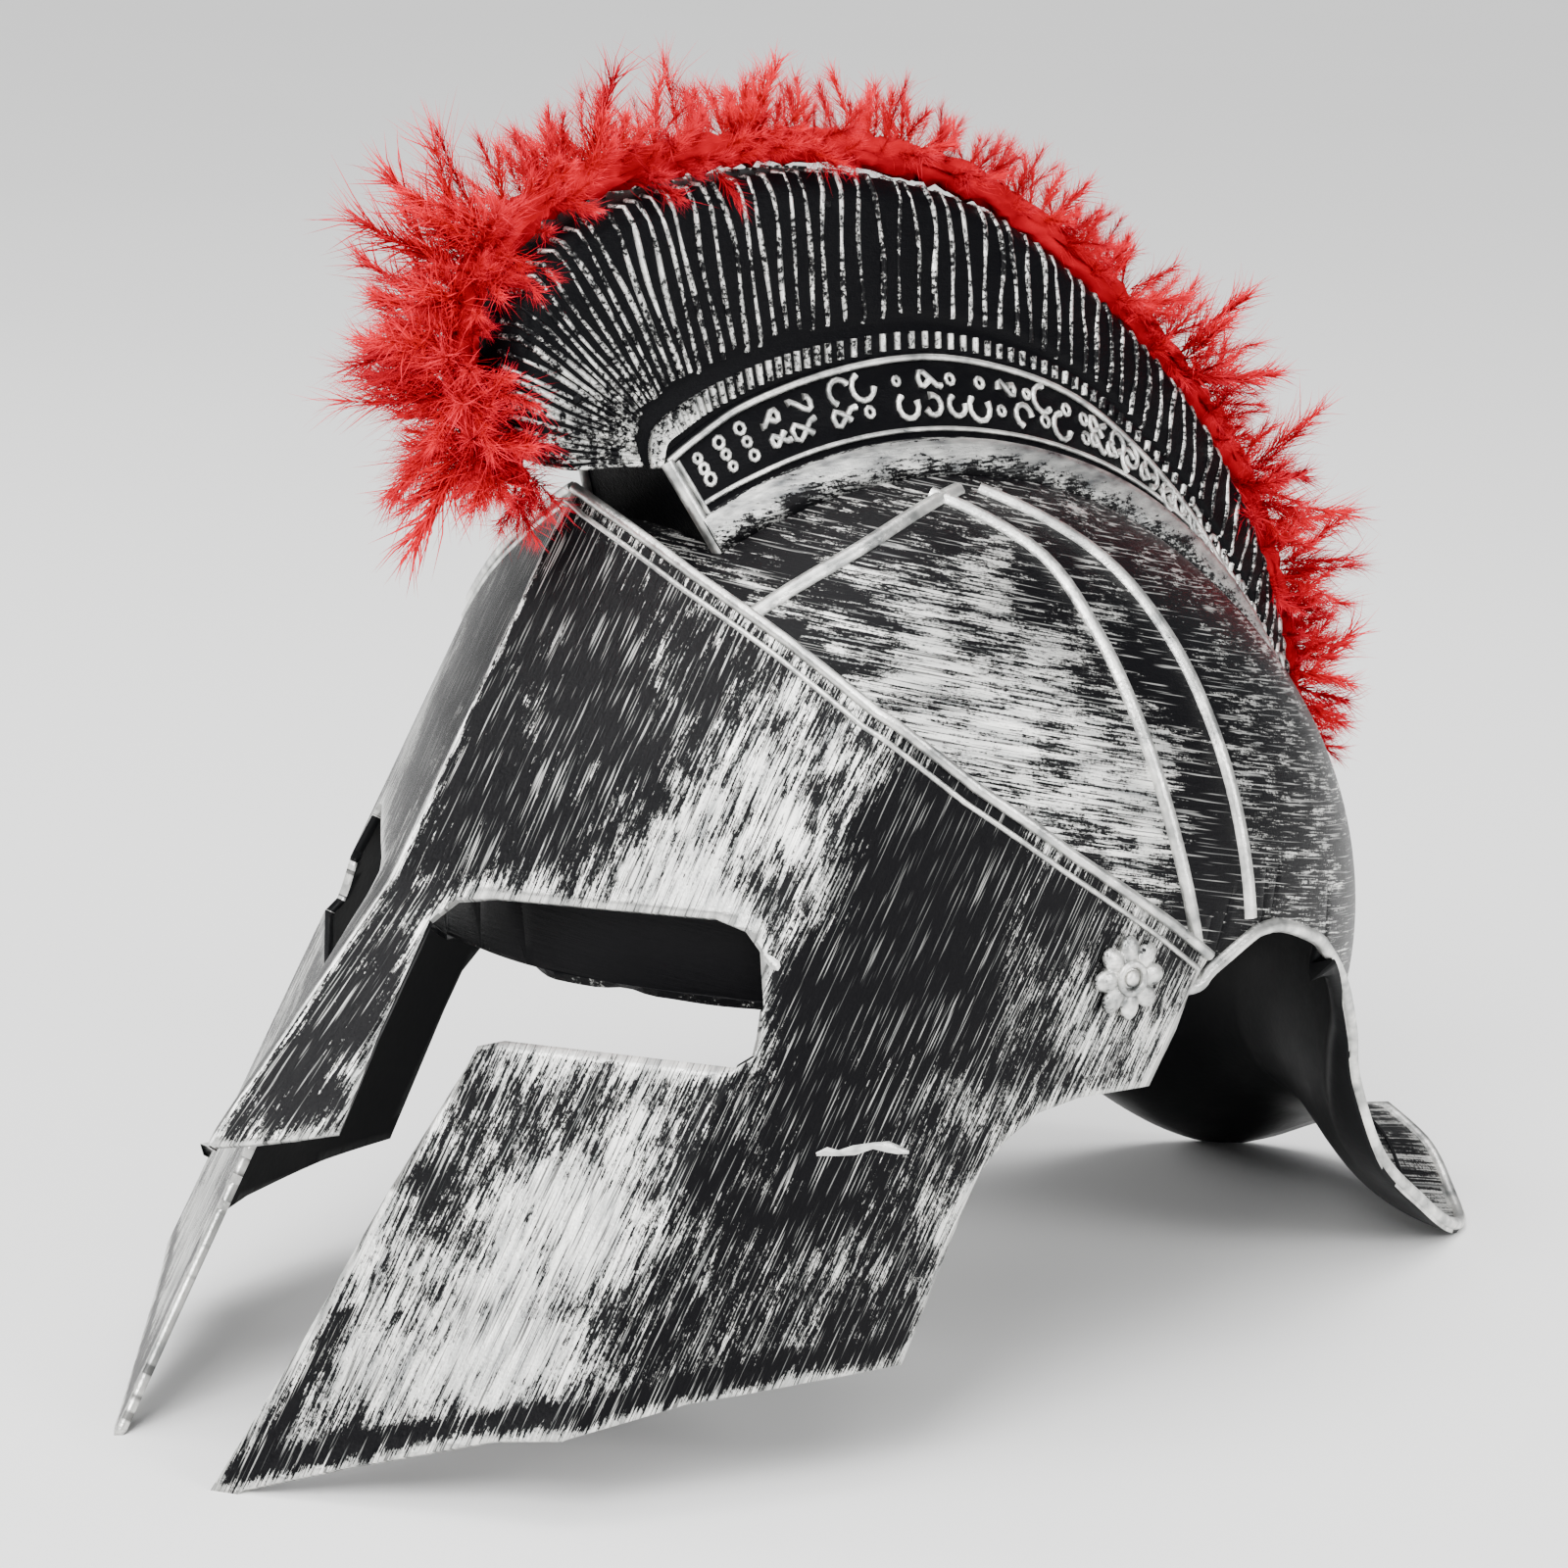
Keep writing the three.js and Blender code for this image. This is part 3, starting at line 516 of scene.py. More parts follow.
def mapped_grid(
    columns: int,
    rows: int,
    surface: Callable[[float, float], Vector],
    measure: Callable[[float, float], tuple[float, float]],
    brushed: Callable[[float, float], float],
) -> Mesh:
    """Grid laid on a surface.

    Args:
        columns: Faces across.
        rows: Faces down.
        surface: Point in metres at a share across and a share down.
        measure: Surface coordinates in metres, for the UV map.
        brushed: How full the brush was, 0 to 1.

    Returns:
        The mesh, with its UV map "surface" and its layer "brushed".
    """
    bm = bmesh.new()
    bmesh.ops.create_grid(bm, x_segments=columns, y_segments=rows, size=0.5)
    layer = float_layer(bm, "brushed")
    uv = bm.loops.layers.uv.new("surface")
    shares = {v: (v.co.x + 0.5, 0.5 - v.co.y) for v in bm.verts}
    for face in bm.faces:
        for loop in face.loops:
            loop[uv].uv = measure(*shares[loop.vert])
        face.smooth = True
    for vert, (across, down) in shares.items():
        vert[layer] = brushed(across, down)
        vert.co = surface(across, down)
    return bm


def join(bm: Mesh, other: Mesh) -> None:
    """Add another mesh, which is freed, to a mesh.

    Args:
        bm: Mesh that takes it.
        other: Mesh with the same layers.
    """
    mesh = bpy.data.meshes.new("joined")
    other.to_mesh(mesh)
    other.free()
    bm.from_mesh(mesh)
    bpy.data.meshes.remove(mesh)


def tubes(
    bm: Mesh,
    paths: Iterable[Cord],
    material: int,
    brushed: float,
    sides: int = 2,
) -> None:
    """Add round cords along paths to a mesh.

    Args:
        bm: Mesh that takes them.
        paths: For each cord, its points in metres and its radius there in mm.
        material: Number of the material slot.
        brushed: How full the brush was on them.
        sides: Blender's bevel resolution.
    """
    curve = bpy.data.curves.new("cords", "CURVE")
    curve.dimensions = "3D"
    curve.bevel_depth = 1.0
    curve.bevel_resolution = sides
    curve.use_fill_caps = True
    for path in paths:
        spline = curve.splines.new("POLY")
        spline.points.add(len(path) - 1)
        for point, (place, radius) in zip(spline.points, path):
            point.co = (*place, 1.0)
            point.radius = radius * MM
    drawn = linked("cords", curve)
    graph = bpy.context.evaluated_depsgraph_get()
    mesh = bpy.data.meshes.new_from_object(drawn.evaluated_get(graph))
    mesh.materials.clear()
    layer = float_layer(bm, "brushed")
    bm.verts.ensure_lookup_table()
    bm.faces.ensure_lookup_table()
    verts, faces = len(bm.verts), len(bm.faces)
    bm.from_mesh(mesh)
    bm.verts.ensure_lookup_table()
    bm.faces.ensure_lookup_table()
    for vert in bm.verts[verts:]:
        vert[layer] = brushed
    for face in bm.faces[faces:]:
        face.material_index = material
        face.smooth = True
    bpy.data.objects.remove(drawn)
    bpy.data.curves.remove(curve)
    bpy.data.meshes.remove(mesh)


def studs(bm: Mesh, places: Cord, material: int, brushed: float, detail: int = 1) -> None:
    """Add small round studs to a mesh, for points in metres and radii in mm.

    Args:
        bm: Mesh that takes them.
        places: Middle in metres and radius in mm of each.
        material: Number of the material slot.
        brushed: How full the brush was on them.
        detail: Subdivisions of each ball.
    """
    layer = float_layer(bm, "brushed")
    for place, radius in places:
        made = bmesh.ops.create_icosphere(
            bm, subdivisions=detail, radius=radius * MM, matrix=Matrix.Translation(place)
        )
        for vert in made["verts"]:
            vert[layer] = brushed
            for face in vert.link_faces:
                face.material_index = material
                face.smooth = True


@dataclass
class Dome:
    """The skull's ellipsoid, which leans back with the whole helmet."""

    half_width: float = 94.2
    half_length: float = 118.8
    height: float = 96.3
    back: float = 196.2
    up: float = 99.4
    lean: float = math.radians(22.3)

    def point(self, side: float, back: float, up: float) -> Vector:
        """Place in the tables' millimetres of a place in the dome's own axes."""
        c, s = math.cos(self.lean), math.sin(self.lean)
        return Vector((side, self.back + back * c + up * s, self.up - back * s + up * c))

    def own(self, place: Vector) -> Vector:
        """Place in the dome's own axes.

        Args:
            place: Place in the tables' millimetres.

        Returns:
            The place along the dome's width, length and height.
        """
        c, s = math.cos(self.lean), math.sin(self.lean)
        b, u = place.y - self.back, place.z - self.up
        return Vector((place.x, b * c - u * s, b * s + u * c))

    def size(self, place: Vector, grow: float = 0.0) -> float:
        """1 on the dome grown by a distance, more outside it.

        Args:
            place: Place in the tables' millimetres.
            grow: How much larger the dome is taken, in mm.

        Returns:
            1 on that dome, less inside it and more outside.
        """
        q = self.own(place)
        return math.sqrt(
            (q.x / (self.half_width + grow)) ** 2
            + (q.y / (self.half_length + grow)) ** 2
            + (q.z / (self.height + grow)) ** 2
        )

    def onto(self, place: Vector, grow: float = 0.0) -> Vector:
        """Place moved straight out from the middle onto the dome."""
        q = self.own(place) / self.size(place, grow)
        return self.point(q.x, q.y, q.z)

    def normal(self, place: Vector) -> Vector:
        """Outward normal at a place on the dome.

        Args:
            place: Place in the tables' millimetres.

        Returns:
            Unit vector.
        """
        q = self.own(place)
        tip = self.point(q.x / self.half_width**2, q.y / self.half_length**2, q.z / self.height**2)
        return (tip - self.point(0, 0, 0)).normalized()


def metres(place: Vector) -> Vector:
    """Point of the row frame for a place held as a vector of the tables' millimetres."""
    return placed(place.x, place.y, place.z)


@dataclass
class FaceMask:
    """Folded mask: a front facet each side of a ridge and a curved side facet."""

    ridge_back: float = 58.0
    ridge_up: float = 115.5
    slope: float = 0.584
    facet_slope: float = 0.66
    crease: float = 76.0
    nasal_flare: float = 15.0
    nasal_half_width: float = 25.0
    bulge: float = 3.2
    spacing: float = 2.6
    sheet_size: Row = (205, 200)
    crease_cuts: Row = (-1.1, -0.4, 0.4, 1.1)
    ridge_cuts: Row = (0.5, 1.2)
    nasal_drop: float = 49
    flare_from: float = 52.2
    flare_over: float = 8
    hollow_from: float = 98.2
    hollow_over: float = 45
    upper_points: int = 8
    side_facet: tuple[Row, ...] = (
        (0, 76), (20, 84), (45, 92), (70, 96.3), (95, 98), (130, 98.6), (150, 98.6),
    )
    outline: tuple[Row, ...] = (
        (105.2, 196.3), (114.3, 181.4), (122.7, 169.9), (130.7, 157.6), (147.5, 142.4), (168.1, 126.7),
        (193.2, 109.3), (203.6, 101.4), (197.8, 94.1), (194, 85.5), (186.8, 74.1), (167.5, 74.5),
        (157.1, 72.8), (149.6, 68.6), (142.3, 62.3), (137.3, 53.6), (132.3, 43.8), (122.3, 24),
        (100, 23.4), (74.8, 21.6), (41, 14.4), (20.7, 5.8), (7, -0.6), (5.5, -1.8), (2.2, -1.8),
        (20.2, 24.9), (41.2, 57.4), (58.2, 82.6), (60.6, 86.4), (64.4, 88), (92.4, 88), (96.2, 90),
        (97.5, 93.5), (101.6, 110), (100.8, 113.6), (97.5, 115.4), (70.2, 114.8), (65.4, 113.8),
        (60.5, 109.5), (45.6, 87.1), (34.6, 68.6), (25, 67.2), (13.6, 65.2), (2, 63.4), (-30, 63.4),
        (-30, 196.3),
    )

    def surface(self, across: float, up: float) -> Vector:
        """Place on the mask at a distance from the ridge, signed by side, and a height.

        Args:
            across: Distance from the ridge in mm, signed by side.
            up: Height in mm.

        Returns:
            The place in the tables' millimetres.
        """
        sign = -1.0 if across < 0 else 1.0
        distance = abs(across)
        ridge = self.ridge_back + self.slope * (up - self.ridge_up)
        if distance > self.crease:
            beyond = distance - self.crease
            side = along_table(self.side_facet, beyond)
            return Vector((sign * side, ridge + self.facet_slope * self.crease + beyond, up))
        below = clamp((self.ridge_up - up) / self.nasal_drop)
        near = max(0.0, 1 - (distance / self.nasal_half_width) ** 2)
        share = distance / self.crease
        hollow = 4 * self.bulge * share * (1 - share)
        hollow *= clamp((up - self.hollow_from) / self.hollow_over)
        flare = self.nasal_flare * below * near * clamp((up - self.flare_from) / self.flare_over)
        return Vector((sign * distance, ridge + self.facet_slope * distance - flare - hollow, up))

    def across(self, back: float, up: float) -> float:
        """Distance from the ridge of the mask's point at a place back and a height.

        Args:
            back: Distance back in mm.
            up: Height in mm.

        Returns:
            The distance from the ridge, 0 in front of it.
        """
        low, high = 0.0, 230.0
        if self.surface(low, up).y >= back:
            return 0.0
        for _ in range(40):
            middle = 0.5 * (low + high)
            if self.surface(middle, up).y < back:
                low = middle
            else:
                high = middle
        return 0.5 * (low + high)

    def normal(self, across: float, up: float) -> Vector:
        """Outward normal of the mask.

        Args:
            across: Distance from the ridge in mm, signed by side.
            up: Height in mm.

        Returns:
            Unit vector away from the head.
        """
        run = self.surface(across + 0.6, up) - self.surface(across - 0.6, up)
        rise = self.surface(across, up + 0.6) - self.surface(across, up - 0.6)
        made = run.cross(rise).normalized()
        return made if made.y < 0 or made.x * across > 0 and abs(made.y) < 0.5 else -made

    def walk(self, rows: Sequence[Row], step: float) -> Iterator[tuple[float, float]]:
        """Walk along rows of the outline.

        Args:
            rows: Corners, of which the last is only the end.
            step: Least distance between points in mm.

        Returns:
            One point after another: distance across from the ridge, and height.
        """
        for (back, up), (to_back, to_up) in zip(rows, rows[1:]):
            steps = max(1, int(math.hypot(to_back - back, to_up - up) / step))
            for k in range(steps):
                t = k / steps
                y, z = back + t * (to_back - back), up + t * (to_up - up)
                yield self.across(y, z), z

    def flat_outline(self) -> list[Vector]:
        """Outline laid flat, in mm across from the ridge and up, about 2 mm a step.

        Returns:
            Corners in order round the left half.
        """
        flat: list[Vector] = []
        for across, up in self.walk((*self.outline, self.outline[0]), 2.0):
            point = Vector((across, up, 0))
            if not flat or (point - flat[-1]).length > 0.3:
                flat.append(point)
        return flat

    def upper_edge(self) -> list[tuple[float, float]]:
        """Upper edge from the peak to the rear tip, as distances across and heights.

        Returns:
            Points from the peak back.
        """
        top = self.outline[: self.upper_points]
        return [*self.walk(top, 2.5), (self.across(*top[-1]), top[-1][1])]

    def brushed(self, across: float, up: float, to_edge: float) -> float:
        """How full the brush was: given spots, and more at the edges.

        Args:
            across: Distance from the ridge in mm, signed by side.
            up: Height in mm.
            to_edge: Distance to the sheet's nearest edge in mm.

        Returns:
            Bare plastic at 0 and below, and full silver from about 1.
        """
        full = 0.4
        for spot_across, spot_up, reach_across, reach_up, amount in (
            (62, 132, 16, 22, 0.5), (40, 118, 18, 8, 0.3), (66, 96, 8, 20, 0.35),
            (30, 150, 20, 20, -0.05), (100, 118, 22, 30, -0.5), (96, 70, 20, 26, -0.25),
            (60, 50, 24, 26, 0.45), (40, 25, 30, 16, 0.35), (110, 48, 16, 18, 0.12),
            (150, 96, 16, 20, 0.12), (178, 86, 10, 16, 0.3), (12, 85, 14, 24, -0.12),
            (10, 170, 20, 20, -0.3), (26, 136, 22, 20, -0.16), (92, 136, 12, 14, -0.2),
        ):
            away = ((across - spot_across) / reach_across) ** 2 + ((up - spot_up) / reach_up) ** 2
            full += amount * math.exp(-away)
        ridge = 0.6 * math.exp(-((across / 1.1) ** 2))
        if up < 34:
            full -= 0.6 * math.exp(-(((to_edge - 4.4) / 1.7) ** 2))
        return clamp(full + ridge + 0.55 * math.exp(-to_edge / 1.6), -0.3, 1.3)

    def flat_sheet(self) -> Mesh:
        """Left half laid flat in mm, cut into cells small enough to bend.

        Returns:
            The sheet, with closer cuts at the ridge and the crease.
        """
        bm = bmesh.new()
        bm.faces.new([bm.verts.new(point) for point in self.flat_outline()])
        wide, high = self.sheet_size
        across = [k * self.spacing for k in range(1, int(wide / self.spacing))]
        across += [self.crease + shift for shift in self.crease_cuts] + [*self.ridge_cuts]
        cuts = [((place, 0, 0), (1, 0, 0)) for place in across]
        cuts += [((0, k * self.spacing, 0), (0, 1, 0)) for k in range(-1, int(high / self.spacing))]
        for place, normal in cuts:
            geometry = bm.verts[:] + bm.edges[:] + bm.faces[:]
            bmesh.ops.bisect_plane(bm, geom=geometry, plane_co=place, plane_no=normal)
        bmesh.ops.dissolve_degenerate(bm, dist=0.02, edges=bm.edges[:])
        return bm

    def build(self, finishes: Finishes) -> Piece:
        """Mask piece with its wall, edge beads and pale marks.

        Args:
            finishes: The materials.

        Returns:
            The piece, in place of the CAD mask.
        """
        bm = self.flat_sheet()
        layer = float_layer(bm, "brushed")
        edge_points = [v.co.copy() for v in bm.verts if v.is_boundary and v.co.x > 0.01]
        for vert in bm.verts:
            near = min((vert.co - p).length for p in edge_points)
            vert[layer] = self.brushed(vert.co.x, vert.co.y, near)
        uv = bm.loops.layers.uv.new("surface")
        stretch = math.hypot(1, self.facet_slope)
        for face in bm.faces:
            face.smooth = True
            for loop in face.loops:
                x, y = loop.vert.co.x, loop.vert.co.y
                loop[uv].uv = (x * stretch * MM, y * math.hypot(1, self.slope) * MM)
        other = bmesh.ops.duplicate(bm, geom=bm.verts[:] + bm.edges[:] + bm.faces[:])["geom"]
        moved = [v for v in other if isinstance(v, bmesh.types.BMVert)]
        for vert in moved:
            vert.co.x = -vert.co.x
        for item in other:
            if isinstance(item, bmesh.types.BMFace):
                for loop in item.loops:
                    loop[uv].uv.x = -loop[uv].uv.x - 0.05
        bmesh.ops.remove_doubles(bm, verts=[v for v in bm.verts if abs(v.co.x) < 0.01], dist=0.02)
        for vert in bm.verts:
            vert.co = metres(self.surface(vert.co.x, vert.co.y))
        bmesh.ops.recalc_face_normals(bm, faces=bm.faces[:])
        if sum(face.normal.y * face.calc_area() for face in bm.faces) > 0:
            bmesh.ops.reverse_faces(bm, faces=bm.faces[:])
        for edge in bm.edges:
            if edge.is_manifold and edge.calc_face_angle(0.0) > math.radians(30):
                edge.smooth = False
        bmesh.ops.solidify(bm, geom=bm.faces[:], thickness=WALL * MM)
        self.mark_sides(bm)
        self.add_beads(bm)
        self.add_pale_marks(bm)
        for vert in bm.verts:
            vert.co.z = max(vert.co.z, 0.0)
        materials = [finishes.mask, finishes.inside, finishes.edge]
        return shown("mask_shell", bm, materials, ["face_mask"])

    def mark_sides(self, bm: Mesh) -> None:
        """Give the inner wall and the cut edge their own material slots.

        Args:
            bm: The thickened sheet.
        """
        for face in bm.faces:
            middle = face.calc_center_median() / MM
            outward = Vector((middle.x, middle.y + MIDDLE_BACK - 150, 0)).normalized()
            facing = face.normal.dot(outward)
            shortest = min(edge.calc_length() for edge in face.edges)
            if abs(facing) < 0.2 and len(face.verts) == 4 and shortest > 1.9 * MM:
                face.material_index = 2
                face.smooth = False
            elif facing < 0:
                face.material_index = 1

    def add_pale_marks(self, bm: Mesh) -> None:
        """Pale marks on the left cheek and by the eye slot, a little proud of the paint.

        Args:
            bm: Mesh that takes them.
        """
        for line in (
            ((100.7, 69.6, 0.6), (102.8, 70.0, 1.5), (105.5, 69.5, 1.0), (108.5, 69.8, 1.7),
             (112.2, 70.4, 1.1), (115.6, 69.9, 1.9), (118.5, 69.0, 1.5), (121.2, 68.3, 0.6)),
            ((71.8, 109.6, 0.6), (73.2, 108.8, 1.6), (74.8, 107.8, 1.9), (77.2, 105.9, 0.6)),
        ):
            path = []
            for across, up, radius in line:
                place = self.surface(across, up) - self.normal(across, up) * radius * 0.72
                path.append((metres(place), radius))
            tubes(bm, [path], 2, 1.2)

    def add_beads(self, bm: Mesh) -> None:
        """Raised bead and fine line along the upper edge of each half.

        Args:
            bm: Mesh that takes them.
        """
        edge = self.upper_edge()
        for side in Side:
            bead, line = [], []
            for i, (across, up) in enumerate(edge):
                ahead = edge[min(i + 1, len(edge) - 1)]
                behind = edge[max(i - 1, 0)]
                run = Vector((ahead[0] - behind[0], ahead[1] - behind[1])).normalized()
                inward = Vector((run.y, -run.x))
                if inward.y > 0:
                    inward = -inward
                for path, inset, radius, lift in ((bead, 0.9, 1.25, 0.35), (line, 3.9, 0.62, 0.05)):
                    a, u = across + inward.x * inset, up + inward.y * inset
                    a = max(a, 0.0)
                    normal = self.normal(max(a, 0.8), u)
                    place = self.surface(a, u) + normal * lift
                    path.append((metres(Vector((side.value * place.x, place.y, place.z))), radius))
            tubes(bm, [bead, line], 2, 0.75)


def along_table(rows: Sequence[Row], place: float) -> float:
    """Smooth value of a table's second column at a place in its first.

    Args:
        rows: Rows of a place and a value, by rising place.
        place: Where to read the table.

    Returns:
        The value there, on a curve through the rows.
    """
    if place <= rows[0][0]:
        return rows[0][1]
    for i in range(len(rows) - 1):
        (a, fa), (b, fb) = rows[i], rows[i + 1]
        if place <= b:
            t = (place - a) / (b - a)
            before = rows[max(i - 1, 0)]
            after = rows[min(i + 2, len(rows) - 1)]
            ma = (fb - before[1]) / (b - before[0]) * (b - a) if i else fb - fa
            mb = (after[1] - fa) / (after[0] - a) * (b - a)
            return (
                (2 * t**3 - 3 * t * t + 1) * fa
                + (t**3 - 2 * t * t + t) * ma
                + (3 * t * t - 2 * t**3) * fb
                + (t**3 - t * t) * mb
            )
    return rows[-1][1]


@dataclass
class Skull:
    """Dome with its ribs, the arches over the shoulders and the flared neck guard."""

    dome: Dome
    mask: FaceMask
    press: float = 3.9
    around: int = 288
    upper_rows: int = 34
    flare_rows: int = 26
    upper_share: float = 0.86
    bend_rows: float = 6.0
    rib_radius: float = 2.0
    rib_sunk: float = 0.5
    bead_radius: float = 1.6
    bead_span: Row = (0.163, 0.837)
    guard_span: Row = (0.3, 0.7)
    stroke_tilt: float = math.radians(12.9)
    rim: tuple[Row, ...] = (
        (0, 81.9, 97.5), (15.6, 83.6, 97.1), (30.4, 88.1, 97), (46.2, 96.8, 96.6), (60.5, 109, 95.8),
        (78, 131, 95), (88.5, 158, 94), (93.2, 183, 93), (93.9, 201.9, 92.5), (93.7, 207.6, 95.5),
        (91.6, 222.3, 101.2), (89.4, 231.8, 100.9), (86.2, 242.7, 97.1), (81.9, 253.4, 91.6),
        (75.5, 266.4, 80), (68, 278, 65), (63, 285.4, 50.8), (60, 298.6, 29), (55.5, 317.9, 13.5),
        (49.5, 334, 3.4), (43, 346, -0.4), (33, 353, 2.5), (18, 359.5, 10), (0, 362.5, 15),
    )
    ribs: tuple[tuple[Row, ...], ...] = (
        ((39, 117, 171), (42, 142, 183), (40, 160, 189), (33, 184, 195)),
        ((33, 176, 194), (53, 190, 183), (69, 193, 168), (83, 195, 149), (92, 198, 127), (95, 203, 102)),
        ((33, 190, 194), (52, 208, 181), (68, 215, 166), (81, 218, 146), (90, 220, 123), (93, 221, 105)),
    )

    def rim_row(self, across: float) -> Vector:
        """Lower edge at a share round the skull, from the brow over the left side and back.

        Args:
            across: Share of the way round.

        Returns:
            The place in the tables' millimetres.
        """
        side = 1.0 if across <= 0.5 else -1.0
        share = 2 * across if across <= 0.5 else 2 * (1 - across)
        row = along(self.rim, share)
        return Vector((side * row[0], row[1], row[2]))

    def pressed(self, place: Vector) -> Vector:
        """Place pressed back where the mask's front facet runs close over the dome.

        Args:
            place: Place on the dome.

        Returns:
            The same place, or one just behind the mask.
        """
        if abs(place.x) > self.mask.crease or place.y > self.dome.back:
            return place
        least = self.mask.surface(place.x, place.z).y + self.press
        return Vector((place.x, max(place.y, least), place.z))

    def surface(self, across: float, down: float) -> Vector:
        """Place on the skull's outer face in the tables' millimetres.

        Args:
            across: Share of the way round, 0 at the brow.
            down: Share of the way down from the top to the lower edge.

        Returns:
            The place, on the dome or on the flare that leaves it.
        """
        end = self.rim_row(across)
        dome = self.dome
        own = dome.own(end)
        turn = math.atan2(own.x / dome.half_width, own.y / dome.half_length)
        out = dome.size(end)
        flared = clamp((out - 1.0) / 0.05)
        leave_flared = min(0.08 + 0.25 * max(out - 1, 0), 0.14)
        leave_plain = own.z / dome.height / out
        upper, rows = self.upper_rows, self.upper_rows + self.flare_rows
        row = down * rows

        def on_dome(angle: float) -> Vector:
            """Place on the dome at an angle down from its top.

            Args:
                angle: Angle in radians.

            Returns:
                The place, pressed back behind the mask.
            """
            return self.pressed(
                dome.point(
                    dome.half_width * math.sin(angle) * math.sin(turn),
                    dome.half_length * math.sin(angle) * math.cos(turn),
                    dome.height * math.cos(angle),
                )
            )

        if flared <= 0:
            last = math.acos(clamp(leave_plain, -1, 1))
            if row <= upper:
                return on_dome(last * self.upper_share * row / upper)
            share = self.upper_share + (1 - self.upper_share) * (row - upper) / self.flare_rows
            return on_dome(last * share)
        leave = leave_plain + (leave_flared - leave_plain) * flared
        last = math.acos(clamp(leave, -1, 1))
        bend = self.bend_rows
        if row <= upper:
            return on_dome(last * self.upper_share * row / upper)
        if row <= upper + bend:
            share = self.upper_share + (1 - self.upper_share) * (row - upper) / bend
            return on_dome(last * share)
        t = (row - upper - bend) / (self.flare_rows - bend)
        start = on_dome(last)
        drop = (end - start).length
        downward = (start - on_dome(last - 0.03)).normalized()
        first = start + downward * drop * 0.55
        away = dome.normal(dome.onto(end))
        away.z = 0
        away.normalize()
        second = end - away * drop * 0.28 + Vector((0, 0, drop * 0.1))
        left = 1 - t
        return start * left**3 + first * 3 * t * left**2 + second * 3 * t * t * left + end * t**3

    def brushed(self, across: float, down: float) -> float:
        """How full the brush was over the dome, with painted shade where it runs behind the mask.

        Args:
            across: Share of the way round.
            down: Share of the way down.

        Returns:
            Bare plastic at 0 and below, and full silver from about 1.
        """
        place = self.surface(across, down)
        full = 0.36 + 0.4 * math.exp(-((1 - down) * 60) / 2.2)
        for side, back, up, reach, amount in (
            (60, 150, 150, 30, 0.45), (88, 190, 140, 22, 0.45), (60, 225, 180, 26, -0.1),
            (80, 250, 140, 26, 0.05), (60, 300, 30, 30, 0.5), (92, 208, 110, 10, -0.35),
            (92, 170, 105, 18, 0.1),
            (76, 203, 155, 13, -0.4), (88, 209, 130, 12, -0.4),
        ):
            away = ((abs(place.x) - side) ** 2 + (place.y - back) ** 2 + (place.z - up) ** 2) / reach**2
            full += amount * math.exp(-away)
        # The dome just behind the mask and under the brow gets far less silver: painted shade under the
        # mask.
        near_mask = place.y < self.mask.surface(place.x, place.z).y + 9
        if abs(place.x) < self.mask.crease and (near_mask or place.z < 118 and place.y < 130):
            full -= 0.9
        return clamp(full, -0.6, 1.3)

    def build(self, finishes: Finishes) -> Piece:
        """Skull piece with its wall, ribs and edge bead.

        Args:
            finishes: The materials.

        Returns:
            The piece, in place of the CAD skull.
        """
        rows = self.upper_rows + self.flare_rows

        def measure(across: float, down: float) -> tuple[float, float]:
            """Surface coordinates: down the dome, then round it, so strokes run round.

            Args:
                across: Share of the way round.
                down: Share of the way down.

            Returns:
                The two coordinates in metres.
            """
            place = self.surface(across, max(down, 1e-3)) - self.dome.point(0, 0, 0)
            tilt = self.stroke_tilt
            height = place.y * math.sin(tilt) + place.z * math.cos(tilt)
            level = place.y * math.cos(tilt) - place.z * math.sin(tilt)
            turn = math.atan2(place.x, level)
            if across > 0.5 and turn > 0 or across < 0.5 and turn < 0:
                turn = 0.0
            return height * MM, (turn % (2 * math.pi)) * 100 * MM

        bm = mapped_grid(
            self.around,
            rows,
            lambda a, d: metres(self.surface(a, max(d, 1e-4))),
            measure,
            self.brushed,
        )
        bmesh.ops.remove_doubles(bm, verts=bm.verts[:], dist=0.00004)
        bmesh.ops.recalc_face_normals(bm, faces=bm.faces[:])
        middle = metres(self.dome.point(0, 0, 0))
        if sum((f.calc_center_median() - middle).dot(f.normal) for f in bm.faces) < 0:
            bmesh.ops.reverse_faces(bm, faces=bm.faces[:])
        outer = set(bm.faces)
        bmesh.ops.solidify(bm, geom=bm.faces[:], thickness=WALL * MM)
        for face in bm.faces:
            if face not in outer:
                face.material_index = 1
        for face in bm.faces:
            lengths = [edge.calc_length() / MM for edge in face.edges]
            walls = sum(abs(length - WALL) < 0.25 for length in lengths)
            if len(lengths) == 4 and walls >= 2 and min(lengths) < 1.9 * WALL:
                spread = {f.material_index for e in face.edges for f in e.link_faces if f is not face}
                if spread >= {0, 1}:
                    face.material_index = 2
                    face.smooth = False
        self.add_ribs(bm)
        self.add_edge(bm)
        for vert in bm.verts:
            vert.co.z = max(vert.co.z, 0.0)
        materials = [finishes.dome, finishes.inside, finishes.edge]
        return shown("skull_shell", bm, materials, ["skull"])

    def add_ribs(self, bm: Mesh) -> None:
        """Add the dome's ribs: one along the brow and a pair down to each temple.

        Args:
            bm: Mesh that takes them.
        """
        paths = []
        for rows in self.ribs:
            for side in Side:
                wide = []
                for i in range(29):
                    row = along(rows, i / 28)
                    place = self.dome.onto(Vector((side.value * row[0], row[1], row[2])))
                    place = place - self.dome.normal(place) * self.rib_sunk
                    wide.append((metres(place), self.rib_radius))
                paths.append(wide)
        tubes(bm, paths, 2, 0.8)

